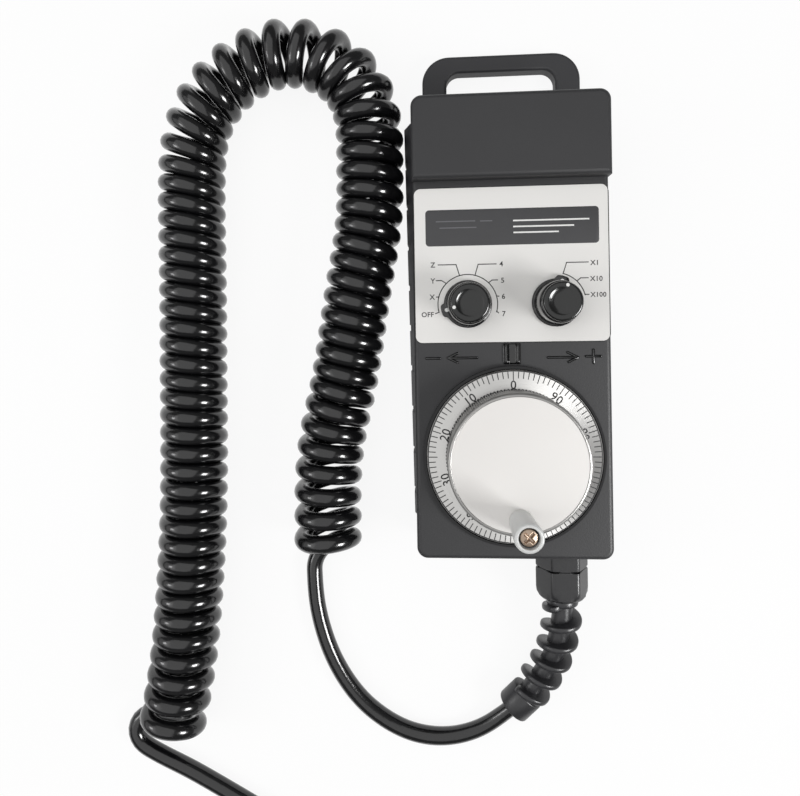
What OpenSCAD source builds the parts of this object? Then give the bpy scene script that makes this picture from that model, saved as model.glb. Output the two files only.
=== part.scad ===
// Hand-held pulse generator pendant: a moulded case with a graduated handwheel,
// two rotary selector switches and a curly lead. It lies on its back: z = 0 is the
// back face, +Z comes out of the front, +Y runs towards the hanging loop.
// All sizes are in millimetres.

/* [Case] */
// Width of the case across the front
case_w = 90; // [86:1:110]
// Length of the case without its hanging loop
case_l = 214; // [205:1:260]
// Height of the lower front deck above the back face
deck_h = 41; // [38:1:50]
// Height at which the front and rear shells part
split_h = 31; // [30.5:0.5:33]
// How far the plain head block stands above the deck
head_rise = 8; // [4:0.5:14]
// Length of the head block
head_l = 38.5; // [30:0.5:46]
// Wall thickness of both shells
wall = 2.5; // [2:0.1:3]
// Radius of the case corners seen from the front
corner_r = 5; // [4:0.5:8]
// Radius of the rounded outer edges
edge_r = 2.2; // [1:0.1:2.4]

/* [Hanging loop] */
// Width of the loop
loop_w = 79; // [60:1:84]
// How far the loop reaches past the case
loop_reach = 31; // [24:1:40]
// Thickness of the loop from front to back
loop_t = 9.5; // [6:0.5:12]
// Width of the loop's cross bar
loop_bar = 8.5; // [6:0.5:12]
// Width of each of the loop's side bars
loop_side = 12.3; // [9:0.1:15]
// Outer corner radius of the loop
loop_r = 13.5; // [9:0.5:16]
// Corner radius of the loop's opening
loop_hole_r = 6.6; // [3:0.1:10]
// Radius of the loop's rounded edges
loop_edge = 1.6; // [0.6:0.1:3]

/* [Side grips] */
// How far a side grip stands out at its upper end
grip_out = 3.8; // [2:0.1:5]
// Taper of a side grip along the case, in degrees
grip_taper = 0.8; // [0:0.1:1]
// Length of a side grip
grip_l = 190; // [120:1:195]
// Distance from one grip groove to the next
groove_pitch = 20; // [10:0.5:30]
// Width of a grip groove
groove_w = 3; // [1.5:0.1:5]

/* [Front plate] */
// Width of the light front plate
plate_w = 88.2; // [80:0.1:88.5]
// Length of the front plate
plate_l = 71.5; // [60:0.1:73]
// Thickness of the front plate
plate_t = 0.8; // [0.5:0.1:1.5]
// Corner radius of the front plate
plate_r = 3; // [1:0.1:6]
// Distance from the case's lower end to the plate's lower edge
plate_up = 100.5; // [98:0.1:102]

/* [Index marker] */
// Width of the glossy index marker
marker_w = 7.8; // [5:0.1:10]
// Height of the index marker's ribs above the deck
marker_h = 1.7; // [1.2:0.1:3]
// Width of each rib of the index marker
marker_rib = 1.2; // [0.8:0.1:2]

/* [Selector switches] */
// Distance of each switch from the centre line
switch_x = 20; // [18:0.5:22]
// Distance from the case's lower end to the switch centres
switch_up = 118.2; // [116:0.1:122]
// Diameter of a switch body
switch_d = 25; // [20:0.5:27]
// Depth of a switch body behind the deck
switch_depth = 19; // [12:0.5:22]
// Diameter of a switch bush
bush_d = 9; // [7:0.5:11]
// Diameter of a switch spindle
spindle_d = 6; // [4:0.5:6]
// Wafer contacts on a switch
contact_count = 12; // [6:1:14]
// Direction of the axis pointer at rest, in degrees
axis_rest_a = 195; // [0:5:355]
// Direction of the multiplier pointer at rest, in degrees
multiplier_rest_a = 75; // [0:5:355]

/* [Selector knobs] */
// Diameter of a knob at its foot
knob_d = 22; // [18:0.5:26]
// Diameter of a knob's cap
knob_cap_d = 17.5; // [13:0.5:18]
// Height of a knob above the front plate
knob_h = 20; // [16:0.5:26]
// Height of the cap at the top of a knob
knob_cap_h = 4; // [2:0.5:6]
// How far the pointer nose stands out from the foot
nose_out = 1.6; // [0.8:0.1:2.5]
// Diameter of the white pointer dots
dot_d = 1.9; // [1:0.1:2.5]

/* [Handwheel] */
// Distance from the case's lower end to the wheel's centre
wheel_up = 48; // [46:0.5:54]
// Diameter of the graduated dial
dial_d = 80; // [70:0.5:82]
// Thickness of the graduated dial
dial_t = 2; // [1.5:0.1:3]
// Diameter of the raised hand disc
disc_d = 62; // [54:0.5:66]
// Height of the hand disc's face above the deck
disc_h = 23.5; // [18:0.5:30]
// Width of the rounded edge of the hand disc
disc_edge = 1.3; // [0.6:0.1:2.5]
// Thickness of the plain face plate on the hand disc
face_t = 0.6; // [0.4:0.1:1]
// Diameter of the wheel spindle
shaft_d = 8; // [6:0.5:10]
// Notches on the click wheel
click_count = 100; // [20:20:100]

/* [Crank handle] */
// Distance of the crank handle from the wheel's centre
crank_r = 23.8; // [20:0.2:25]
// Length of the crank handle
crank_l = 26.5; // [20:0.5:40]
// Diameter of the crank handle at its outer end
crank_top_d = 12.2; // [11:0.1:14]
// Diameter of the crank handle at the disc
crank_foot_d = 10.3; // [8:0.1:12]
// Diameter of the crank screw
crank_screw_d = 4; // [3:0.5:5]

/* [Pulse generator] */
// Diameter of the generator's drum behind the deck
drum_d = 60; // [50:1:72]
// Depth of the drum behind the deck
drum_depth = 24; // [20:0.5:26]
// Width of the black rim round the dial
rim_w = 1.1; // [0.8:0.1:2]
// Outer diameter of a ball bearing
bearing_d = 16; // [14:1:22]
// Width of a ball bearing
bearing_w = 5; // [4:0.5:6]

/* [Cable gland] */
// Distance of the gland from the centre line
gland_x = 25; // [10:0.5:28]
// Height of the gland's axis above the back face
gland_h = 17.5; // [17:0.5:18]
// Width across the flats of the gland's hexagons
gland_af = 22; // [19:0.5:24]
// Diameter of the gland's thread
gland_thread_d = 18.6; // [15:0.1:20]
// Length of the gland's fixed hexagon
gland_hex_l = 10; // [5:0.5:12]
// Length of the gland nut
gland_nut_l = 15; // [12:0.5:20]
// Outer diameter of the spiral bend protector
spiral_d = 19.5; // [17:0.5:22]
// Thickness of the spiral's fin
fin_t = 3.2; // [2:0.1:4]
// Turns of the spiral
spiral_turns = 5.25; // [4:0.25:6]

/* [Cord] */
// Diameter of the cord where it leaves the gland
cord_d = 7.6; // [7:0.1:8]
// Diameter of the cord's curly part and of its far end
jacket_d = 9; // [8:0.1:9.4]
// Outer diameter of the curly part
curl_d = 34; // [32:0.1:35]
// Outer diameter of the plug's coupling ring
plug_d = 19; // [17:0.5:24]

/* [Hidden] */
$fn = 64;

// Clearances
fit = 0.05;
gap = 0.3;
skin = 0.01;
cut = 1;

// Places worked out from the sizes above
low_y = -(case_l + loop_reach) / 2;
high_y = low_y + case_l;
mid_y = (low_y + high_y) / 2;
head_y = high_y - head_l;
head_h = deck_h + head_rise;
plate_top = deck_h + plate_t;
marker_gap = 0.8;
marker_floor = 1;
switch_y = low_y + switch_up;
wheel_y = low_y + wheel_up;
inner_w = case_w - 2 * wall;
rear_floor = wall;
deck_under = deck_h - wall;

// Case screws
screw_xs = [-case_w / 2 + 8, case_w / 2 - 8];
screw_ys = [low_y + 20, low_y + wheel_up + 44, high_y - 8];
boss_d = 9;
screw_d = 3;
screw_head_d = 5.6;
screw_head_h = 2.4;
screw_sink = 5;
screw_play = 0.4;
screw_bite = 4.5;
slot_w = 0.8;
slot_l = 3.2;
seal_w = 1.2;
seal_h = 1;
seal_plan_w = case_w - wall + seal_w;
seal_plan_l = case_l - wall + seal_w;

// Side grips
grip_start = high_y - 8;
grip_low = 4;
groove_depth = 1.6;

// Dial and hand disc levels
bezel_floor = 1.2;
dial_z = deck_h + bezel_floor + gap;
dial_top = dial_z + dial_t;
rim_drop = 0.7;
bezel_top = dial_top - rim_drop;
dial_bevel = 1;
disc_top = deck_h + disc_h;
disc_under = dial_top;
disc_roof = 4;
disc_wall = 3.5;
hub_d = shaft_d + 10;
face_d = disc_d - 2 * (disc_edge + 0.4);
shaft_nut_d = shaft_d + 7.5;
shaft_nut_h = 2.4;
shaft_nut_z = disc_top - face_t - shaft_nut_h - 0.2;
bezel_d = dial_d + 2 * (rim_w + gap);

// Pulse generator levels
drum_wall = 2.4;
drum_web = 2;
drum_bore_d = bearing_d - 4;
drum_low = deck_h - drum_depth;
drum_in_d = drum_d - 2 * drum_wall;
cover_t = 2;
board_t = 1.6;
board_z = drum_low + 3;
code_z = drum_low + 9;
code_t = 0.8;
code_d = drum_in_d - 6;
click_z = code_z + 3;
click_t = 2;
click_d = 26;
click_tooth = 0.6;
ball_d = 2.4;
bearing_seat = deck_h - bearing_w - 1;
rear_bearing_z = drum_low - 0.5;
shaft_end_d = shaft_d - 3;
rear_bearing_d = shaft_end_d + 8;
rear_bearing_w = 4;
cup_t = 1.6;
encoder_screw_d = 3;
encoder_screw_head = 5.4;
encoder_screw_r = (drum_d + bezel_d) / 4;
encoder_screw_as = [90, 210, 330];
terminal_pitch = 7;
terminal_h = 6;
code_slots = 25;
lip_h = 0.7;

// Switch and knob levels
washer_t = 0.6;
detent_depth = 9;
detent_h = 6;
detent_wall = 4;
contact_l = 5;
knob_z = plate_top + washer_t;
knob_top = plate_top + knob_h;
knob_bore_top = knob_top - knob_cap_h - 1.5;
knob_wall = 2.2;
knob_spigot_h = 0.6;
knob_spigot_d = knob_cap_d - 3;
knob_screw_d = 3;
knob_screw_l = 4;
knob_screw_up = 7;
foot_top = 2;
dot_in = 0.9;
cap_dot_d = dot_d - gap;
cap_dot_in = 1.5;
nut_af = bush_d + 3;
nut_t = 2;

// Crank levels
crank_y = wheel_y - crank_r;
crank_z = disc_top + gap;
crank_top = crank_z + crank_l;
recess_d = 8.6;
recess_h = 3.2;
crank_head_d = 7;
crank_head_h = 1.2;
crank_dome_h = 0.9;

// Cable gland
gland_end = low_y - gland_hex_l;
nut_end = gland_end - gland_nut_l;
gland_bore_d = cord_d + 4;
hex_d = gland_af / cos(30);
spigot_d = gland_thread_d - 3;
spigot_l = 7;
locknut_h = 5;
spiral_bore_d = cord_d + 0.8;

// Cord: the route's points, chosen by hand; the first ones go with the gland
near_route = [for (p = [[0, 10.5, 0], [0, -5.5, 0], [0, -21.5, 0], [0, -32.5, -0.5],
    [-1.4, -43.5, -1.5], [-3.8, -53.5, -3], [-8, -63, -4.8], [-13.6, -72, -6.4],
    [-20, -80, -7.8], [-28, -88, -10.2], [-38, -96, -12.4]]) p + [gland_x, low_y, gland_h]];
far_route = [[-26, -223.6, 4.5], [-39, -224.6, 4.5], [-52, -222, 4.5], [-64, -216, 4.5],
    [-74.5, -207.6, 4.5], [-84, -195.7, 4.5], [-90.6, -183.4, 4.5], [-95, -171, 4.5],
    [-97.8, -158.5, 4.5], [-99, -146, 4.5], [-99.2, -131.5, 4.5]];
lead_route = concat(near_route, far_route);
curl_route = [[-90.5, -132], [-90, -116], [-89.5, -90], [-86.5, -66], [-81.8, -46], [-77, -20],
    [-72.4, 8], [-68.4, 30], [-66.6, 48], [-66.3, 67], [-66.6, 86], [-71, 103], [-82, 116],
    [-96, 123], [-110, 124.6], [-124, 120.8], [-138, 112], [-148.3, 100.2], [-155, 84.3],
    [-157.4, 62], [-157.6, 20], [-157.9, -40], [-159.1, -110], [-161.8, -150], [-165, -180],
    [-169, -203], [-173, -222]];
tail_route = [for (p = [[-178, -216, 0], [-187, -216.5, 0], [-193, -219.5, 0],
    [-195.4, -225, 0], [-193.6, -231, 0], [-187, -236, 0], [-179, -240, 0], [-169, -244.6, 0],
    [-152.2, -253.3, 0], [-137, -261.6, 0], [-122, -269.7, 0.4], [-105, -278.9, 1],
    [-88.7, -287.7, 1]]) p + [0, 0, jacket_d / 2]];
coil_centre = [-109.9, -328.5];
coil_r = 46;
coil_lift = 1;
coil_low = coil_centre[1] - coil_r;
end_route = [[coil_centre[0], coil_low, coil_lift + 1.5 * jacket_d], [-124, coil_low, 13.2],
    [-138, coil_low, 11.2], [-152, coil_low, plug_d / 2]];
tie_w = 8;
tie_t = 1;
plug_barrel_d = 15;
plug_nose_d = 12;
plug_nose_z = 24;
plug_nose_l = 15;
plug_neck_l = 10;
plug_wall = 2;
plug_pins = 7;
plug_axis = plug_d / 2;

// Bend protector: the stretch of the lead that it covers
fin_steps = 12;
fin_path = smooth_route(near_route, fin_steps);
fin_first = 31;
fin_last = 90;
collar_first = 89;
collar_last = 101;
collar_d = 17;
collar_l = 11.8;
spiral_foot_d = 14.5;
spiral_foot_l = 3;

function unit(v) = v / norm(v);

// Catmull-Rom point at u between p[i] and p[i + 1]
function route_point(p, i, u) =
    let (n = len(p) - 1)
    let (a = p[max(i - 1, 0)], b = p[i], c = p[min(i + 1, n)], d = p[min(i + 2, n)])
    0.5 * (2 * b + (c - a) * u + (2 * a - 5 * b + 4 * c - d) * u * u
        + (3 * b - a - 3 * c + d) * u * u * u);

// A route's points with k steps between each pair
function smooth_route(p, k) =
    [for (i = [0 : len(p) - 2], s = [0 : k - 1]) route_point(p, i, s / k), p[len(p) - 1]];

function direction(p, i) = unit(p[min(i + 1, len(p) - 1)] - p[max(i - 1, 0)]);

// Tube of radius r along the points p, with n sides and flat ends
module tube(p, r, n) {
    points = [for (i = [0 : len(p) - 1], s = [0 : n - 1])
        let (t = direction(p, i))
        let (side = unit(cross(t, [0, 0, 1])))
        let (up = cross(side, t))
        let (a = 360 * (s + 0.5) / n)
        p[i] + r * (side * cos(a) + up * sin(a))];
    walls = [for (i = [0 : len(p) - 2], s = [0 : n - 1])
        let (q = (s + 1) % n)
        [i * n + s, i * n + q, (i + 1) * n + q, (i + 1) * n + s]];
    first = [[for (s = [n - 1 : -1 : 0]) s]];
    last = [[for (s = [0 : n - 1]) (len(p) - 1) * n + s]];
    polyhedron(points, concat(walls, first, last));
}

// Flat plate with round corners, resting on z = 0
module rounded_plate(w, l, t, r) {
    linear_extrude(t) {
        square([w - 2 * r, l], center = true);
        square([w, l - 2 * r], center = true);
        for (x = [-1, 1], y = [-1, 1]) translate([x * (w / 2 - r), y * (l / 2 - r)]) circle(r);
    }
}

// Bar along Y whose section has its two upper corners rounded
module round_topped(w, l, h, r) {
    rotate([90, 0, 0]) translate([0, 0, -l / 2]) linear_extrude(l) {
        translate([-w / 2, 0]) square([w, h - r]);
        translate([-w / 2 + r, 0]) square([w - 2 * r, h]);
        for (x = [-1, 1]) translate([x * (w / 2 - r), h - r]) circle(r);
    }
}

// Section of a turned piece: radius r, height h, upper edge rounded by e
module rounded_edge(r, h, e) {
    square([r, h - e]);
    square([r - e, h]);
    translate([r - e, h - e]) intersection() {
        circle(e);
        square(e);
    }
}

// Block with corners of radius r, whose upper edge is rounded by e all the way round
module moulded_block(w, l, h, r, e) {
    round_topped(w, l - 2 * r, h, e);
    rotate([0, 0, 90]) round_topped(l, w - 2 * r, h, e);
    for (x = [-1, 1], y = [-1, 1]) translate([x * (w / 2 - r), y * (l / 2 - r), 0])
        rotate_extrude() rounded_edge(r, h, e);
}

module hexagon(d, h) {
    cylinder(d = d, h = h, $fn = 6);
}

// The case

// A moulded block whose corners at the lower end are square
module head_block(w, l, h, r, e) {
    intersection() {
        translate([0, -r, 0]) moulded_block(w, l + 2 * r, h, r, e);
        rotate([0, 0, 90]) round_topped(l, w, h, e);
    }
}

module case_block(inset, low, high_deck, high_head) {
    w = case_w - 2 * inset;
    l = case_l - 2 * inset;
    r = corner_r - inset;
    e = edge_r - inset / 2;
    translate([0, mid_y, low]) moulded_block(w, l, high_deck - low, r, e);
    translate([0, high_y - head_l / 2, low])
        head_block(w, head_l - 2 * inset, high_head - low, r, e);
}

module case_screw_places() {
    for (x = screw_xs, y = screw_ys) translate([x, y, 0]) children();
}

// Flat ring that follows the case wall, centred on the wall's middle
module seal_ring(w, l, t, band) {
    r = corner_r - 1;
    difference() {
        rounded_plate(w, l, t, r);
        translate([0, 0, -cut]) rounded_plate(w - 2 * band, l - 2 * band, t + 2 * cut, r - band);
    }
}

module front_case() {
    color("#37363a") difference() {
        union() {
            difference() {
                case_block(0, split_h, deck_h, head_h);
                case_block(wall, split_h - 1, deck_under, head_h - wall);
            }
            intersection() {
                case_screw_places() translate([0, 0, split_h]) cylinder(d = boss_d, h = deck_h);
                case_block(wall / 2, split_h, deck_under + 1, head_h - wall + 1);
            }
        }
        // Groove for the seal
        translate([0, mid_y, split_h - cut])
            seal_ring(seal_plan_w, seal_plan_l, cut + seal_h / 2, seal_w);
        case_screw_places() translate([0, 0, split_h - cut]) cylinder(d = screw_d, h = screw_bite + 1.5);
        translate([0, wheel_y, split_h]) cylinder(d = drum_d + 2 * gap, h = deck_h);
        for (x = [-switch_x, switch_x])
            translate([x, switch_y, deck_under - cut]) cylinder(d = bush_d + 2 * gap, h = wall + 2 * cut);
        for (a = encoder_screw_as)
            translate([0, wheel_y, 0]) rotate(a) translate([encoder_screw_r, 0, deck_under - cut])
                cylinder(d = encoder_screw_d + screw_play, h = wall + 2 * cut);
    }
}

// One side grip: a bulged rail with cross grooves, on the +X side
module side_grip() {
    top = split_h - 1;
    rotate([90, 0, 0]) linear_extrude(grip_l)
        polygon([[-4, top - 0.5], [0.6, top - 0.5], [grip_out, top - 12], [grip_out, 8],
            [grip_out - 1.5, grip_low], [-4, grip_low]]);
}

module side_grooves() {
    count = floor(grip_l / groove_pitch);
    for (i = [1 : count])
        translate([grip_out - groove_depth, -i * groove_pitch, grip_low + 1])
            cube([groove_depth + 2 * cut, groove_w, split_h]);
}

// Section of what is cut away to round both edges of an opening, from its wall outwards
module edge_flare(t, e) {
    difference() {
        translate([-skin, -cut]) square([e + skin, t + 2 * cut]);
        translate([0, e]) square([2 * e, t - 2 * e]);
        for (z = [e, t - e]) translate([e, z]) circle(e);
    }
}

// The loop's opening, with both of its edges rounded
module loop_opening() {
    r = loop_hole_r;
    e = loop_edge;
    w = loop_w - 2 * loop_side;
    h = loop_reach - loop_bar;
    translate([0, 0, -cut]) linear_extrude(loop_t + 2 * cut) {
        translate([-w / 2, 0]) square([w, h - r]);
        translate([-w / 2 + r, 0]) square([w - 2 * r, h]);
        for (x = [-1, 1]) translate([x * (w / 2 - r), h - r]) circle(r);
    }
    translate([-w / 2 + r, h, 0]) rotate([90, 0, 90]) linear_extrude(w - 2 * r) edge_flare(loop_t, e);
    for (s = [0, 1]) mirror([s, 0, 0]) {
        translate([w / 2, h - r, 0]) rotate([90, 0, 0]) linear_extrude(h - r) edge_flare(loop_t, e);
        translate([w / 2 - r, h - r, 0]) rotate_extrude(angle = 90) translate([r, 0]) edge_flare(loop_t, e);
    }
}

// Hanging loop, moulded in one with the rear case
module hanging_loop() {
    l = loop_reach + loop_r;
    translate([0, high_y, 0]) difference() {
        translate([0, loop_reach - l / 2, loop_t / 2]) for (s = [0, 1]) mirror([0, 0, s])
            moulded_block(loop_w, l, loop_t / 2, loop_r, loop_edge);
        loop_opening();
    }
}

module rear_case() {
    color("#2c2b2e") difference() {
        union() {
            difference() {
                union() {
                    translate([0, mid_y, split_h]) mirror([0, 0, 1])
                        moulded_block(case_w, case_l, split_h, corner_r, edge_r);
                    hanging_loop();
                    for (s = [0, 1]) mirror([s, 0, 0]) translate([case_w / 2, grip_start, 0])
                        rotate([0, 0, -grip_taper]) difference() {
                            side_grip();
                            side_grooves();
                        }
                }
                translate([0, mid_y, rear_floor])
                    rounded_plate(inner_w, case_l - 2 * wall, split_h, corner_r - wall);
            }
            intersection() {
                case_screw_places() cylinder(d = boss_d, h = split_h);
                translate([0, mid_y, 0]) rounded_plate(case_w - wall, case_l - wall, split_h, corner_r - 1);
            }
        }
        case_screw_places() {
            translate([0, 0, -cut]) cylinder(d = screw_head_d + 1, h = screw_sink + cut);
            cylinder(d = screw_d + screw_play, h = split_h + cut);
        }
        translate([0, mid_y, split_h - seal_h / 2])
            seal_ring(seal_plan_w, seal_plan_l, seal_h, seal_w);
        translate([gland_x, low_y - cut, gland_h]) rotate([-90, 0, 0])
            cylinder(d = gland_thread_d + 2 * fit, h = wall + 2 * cut);
    }
}

module case_seal() {
    color("#1c1c1e") translate([0, mid_y, split_h - seal_h / 2])
        seal_ring(seal_plan_w - 2 * fit, seal_plan_l - 2 * fit, seal_h, seal_w - 2 * fit);
}

// Cross recess in a screw head, from z = -cut to the given depth
module cross_recess(depth) {
    for (a = [0, 90]) rotate(a) translate([-slot_l / 2, -slot_w / 2, -cut])
        cube([slot_l, slot_w, depth + cut]);
}

module case_screws() {
    color("#9a9ca0") case_screw_places() translate([0, 0, screw_sink]) difference() {
        union() {
            translate([0, 0, -screw_head_h]) cylinder(d = screw_head_d, h = screw_head_h);
            cylinder(d = screw_d - 2 * fit, h = split_h - screw_sink + screw_bite);
        }
        translate([0, 0, -screw_head_h]) cross_recess(1.2);
    }
}

module front_plate() {
    color("#e4e3e1") difference() {
        translate([0, low_y + plate_up + plate_l / 2, deck_h])
            rounded_plate(plate_w, plate_l, plate_t, plate_r);
        for (x = [-switch_x, switch_x])
            translate([x, switch_y, deck_h - cut]) cylinder(d = bush_d + 2 * gap, h = plate_t + 2 * cut);
    }
}

// Glossy block between the plate and the dial, with a rib down each side
module index_marker() {
    w = marker_w;
    low = wheel_y + bezel_d / 2 + marker_gap;
    high = low_y + plate_up - marker_gap;
    color("#101214") translate([0, 0, deck_h]) {
        translate([-w / 2, low, 0]) cube([w, high - low, marker_floor]);
        for (x = [-w / 2, w / 2 - marker_rib]) translate([x, low, 0])
            cube([marker_rib, high - low, marker_h]);
    }
}

// Selector switches

module switch_body(x) {
    color("#2f4b8c") translate([x, switch_y, 0]) difference() {
        union() {
            translate([0, 0, deck_under - switch_depth]) cylinder(d = switch_d, h = switch_depth);
            translate([0, 0, deck_under - skin])
                cylinder(d = bush_d, h = wall + plate_t + washer_t + nut_t + skin);
        }
        translate([0, 0, deck_under - switch_depth - cut])
            cylinder(d = spindle_d + 2 * fit, h = knob_top);
        // Detent pocket round the spindle
        translate([0, 0, deck_under - detent_depth])
            cylinder(d = switch_d - 2 * detent_wall, h = detent_h);
    }
}

module switch_contacts(x) {
    low = deck_under - switch_depth;
    color("#c9b26a") translate([x, switch_y, low - contact_l]) for (i = [0 : contact_count - 1])
        rotate(360 * (i + 0.5) / contact_count) translate([switch_d / 2 - 3, -0.75, 0])
            cube([0.6, 1.5, contact_l]);
}

module switch_washer(x) {
    color("#b9bcc0") translate([x, switch_y, plate_top]) difference() {
        cylinder(d = nut_af + 2, h = washer_t);
        translate([0, 0, -cut]) cylinder(d = bush_d + 2 * fit, h = washer_t + 2 * cut);
    }
}

module switch_nut(x) {
    color("#c4c6c9") translate([x, switch_y, plate_top + washer_t]) difference() {
        hexagon(nut_af / cos(30), nut_t);
        translate([0, 0, -cut]) cylinder(d = bush_d + 2 * fit, h = nut_t + 2 * cut);
    }
}

module knob_frame(x, a) {
    translate([x, switch_y, 0]) rotate(a) children();
}

// Knob moulding: flared foot with a pointer nose, tapered grip, hollow underneath
module knob(x, a) {
    foot_r = knob_d / 2;
    neck_r = knob_cap_d / 2 + 1;
    h = knob_top - knob_cap_h - knob_z;
    color("#18181a") knob_frame(x, a) difference() {
        translate([0, 0, knob_z]) union() {
            rotate_extrude() polygon([[0, 0], [foot_r, 0], [foot_r, foot_top - 0.6],
                [foot_r - 0.5, foot_top], [neck_r + 0.4, foot_top + 0.6],
                [neck_r, h - 0.8], [neck_r - 0.8, h], [0, h]]);
            // Pointer nose
            translate([foot_r - 3, -2.2, 0]) cube([3 + nose_out - 1, 4.4, 2.4]);
            translate([foot_r + nose_out - 1.4, 0, 0]) cylinder(d = 2.6, h = 2.4);
        }
        translate([0, 0, knob_z - cut]) cylinder(r = foot_r - knob_wall, h = nut_t + cut + gap);
        translate([0, 0, knob_z]) cylinder(d = spindle_d + 2 * fit, h = knob_bore_top - knob_z);
        translate([0, 0, knob_top - knob_cap_h - knob_spigot_h])
            cylinder(d = knob_spigot_d, h = knob_cap_h);
        // Set screw hole
        translate([0, 0, knob_z + knob_screw_up]) rotate([0, 90, 180])
            cylinder(d = knob_screw_d, h = foot_r + cut);
        // Dot seat
        translate([foot_r - dot_in, 0, knob_z + foot_top - 0.1]) cylinder(d = dot_d, h = foot_top);
    }
}

// Cap with a rounded edge and a shallow dish
module knob_cap(x, a) {
    r = knob_cap_d / 2;
    e = 1.2;
    dish_r = 28;
    dish_h = 1.1;
    color("#1b1b1d") knob_frame(x, a) translate([0, 0, knob_top - knob_cap_h]) difference() {
        union() {
            rotate_extrude() rounded_edge(r, knob_cap_h, e);
            translate([0, 0, -knob_spigot_h]) cylinder(d = knob_spigot_d - 2 * fit, h = 1);
        }
        translate([0, 0, knob_cap_h - dish_h + dish_r]) sphere(dish_r, $fn = 96);
        translate([r - cap_dot_in, 0, knob_cap_h - 1]) cylinder(d = cap_dot_d, h = 2);
    }
}

module knob_dots(x, a) {
    foot_r = knob_d / 2;
    r = knob_cap_d / 2;
    color("#f2f2f0") knob_frame(x, a) {
        translate([foot_r - dot_in, 0, knob_z + foot_top - 0.1]) cylinder(d = dot_d - 2 * fit, h = 0.6);
        translate([r - cap_dot_in, 0, knob_top - 1]) cylinder(d = cap_dot_d - 2 * fit, h = 1);
    }
}

module spindle(x) {
    color("#b8babd") translate([x, switch_y, deck_under - switch_depth + 1])
        cylinder(d = spindle_d, h = knob_bore_top - gap - (deck_under - switch_depth + 1));
}

module knob_screw(x, a) {
    color("#2a2a2c") knob_frame(x, a) translate([-spindle_d / 2 - fit, 0, knob_z + knob_screw_up])
        rotate([0, -90, 0]) difference() {
            cylinder(d = knob_screw_d - 2 * fit, h = knob_screw_l);
            translate([-1, -0.3, knob_screw_l - 1]) cube([2, 0.6, 2]);
        }
}

// Pulse generator

module encoder_bezel() {
    color("#141416") translate([0, wheel_y, deck_h]) difference() {
        cylinder(d = bezel_d, h = bezel_top - deck_h);
        translate([0, 0, bezel_floor]) cylinder(d = dial_d + 2 * gap, h = dial_t + cut);
        translate([0, 0, -cut]) cylinder(d = drum_bore_d, h = bezel_floor + 2 * cut);
        for (a = encoder_screw_as) rotate(a) translate([encoder_screw_r, 0, -cut])
            cylinder(d = encoder_screw_d + 2 * fit, h = cut + lip_h + fit);
    }
}

module encoder_drum() {
    color("#1e1e20") translate([0, wheel_y, 0]) difference() {
        translate([0, 0, drum_low]) cylinder(d = drum_d, h = drum_depth);
        translate([0, 0, drum_low - cut])
            cylinder(d = drum_in_d, h = bearing_seat - drum_low - drum_web + cut);
        translate([0, 0, bearing_seat - drum_web - cut]) cylinder(d = drum_bore_d, h = drum_depth);
        translate([0, 0, bearing_seat]) cylinder(d = bearing_d + 2 * fit, h = bearing_w + 2 * cut);
    }
}

module encoder_cover() {
    color("#232325") translate([0, wheel_y, drum_low - cover_t]) difference() {
        union() {
            cylinder(d = drum_d, h = cover_t);
            cylinder(d = rear_bearing_d + 2 * cup_t, h = cover_t + rear_bearing_w);
        }
        translate([0, 0, rear_bearing_z - drum_low + cover_t])
            cylinder(d = rear_bearing_d + 2 * fit, h = rear_bearing_w + cut);
    }
}

module encoder_screws() {
    head_h = 2;
    color("#8f9296") translate([0, wheel_y, deck_under - head_h]) for (a = encoder_screw_as) rotate(a)
        translate([encoder_screw_r, 0, 0]) difference() {
            union() {
                cylinder(d = encoder_screw_head, h = head_h);
                cylinder(d = encoder_screw_d, h = head_h + wall + lip_h);
            }
            cross_recess(1);
        }
}

module ring_bearing(outer, inner, w) {
    difference() {
        cylinder(d = outer, h = w);
        translate([0, 0, -cut]) cylinder(d = inner, h = w + 2 * cut);
    }
}

module front_bearing() {
    color("#b4b7bb") translate([0, wheel_y, bearing_seat])
        ring_bearing(bearing_d, shaft_d + 2 * fit, bearing_w);
}

module rear_bearing() {
    color("#b4b7bb") translate([0, wheel_y, rear_bearing_z])
        ring_bearing(rear_bearing_d, shaft_end_d + 2 * fit, rear_bearing_w);
}

module encoder_board() {
    color("#1f6b46") translate([0, wheel_y, board_z]) difference() {
        cylinder(d = drum_in_d - 2 * fit, h = board_t);
        translate([0, 0, -cut]) cylinder(d = rear_bearing_d + 2 * cup_t + 1, h = board_t + 2 * cut);
    }
}

// Forked sensor that straddles the edge of the code wheel
module encoder_sensor() {
    low = board_z + board_t;
    color("#26262a") translate([0, wheel_y, 0]) difference() {
        translate([code_d / 2 - 4, -4, low]) cube([6, 8, code_z + code_t + 3 - low]);
        translate([0, 0, code_z - 0.6]) cylinder(r = code_d / 2 + 0.6, h = code_t + 1.2);
    }
}

// Row of wiring terminals on the back of the cover
module encoder_terminals() {
    low = drum_low - cover_t;
    color("#b99a4e") translate([0, wheel_y, low - terminal_h]) for (i = [-2.5 : 2.5])
        translate([i * terminal_pitch, drum_d * 0.3, 0]) difference() {
            union() {
                cylinder(d = 4, h = terminal_h);
                translate([-2.8, -2.8, terminal_h / 2]) cube([5.6, 5.6, terminal_h / 2]);
            }
            translate([-2.5, -slot_w / 2, -cut]) cube([5, slot_w, cut + 0.8]);
        }
}

module click_wheel_plan() {
    r = click_d / 2;
    polygon([for (i = [0 : 2 * click_count - 1])
        let (q = i % 2 == 0 ? r : r - click_tooth)
        q * [cos(180 * i / click_count), sin(180 * i / click_count)]]);
}

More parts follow.
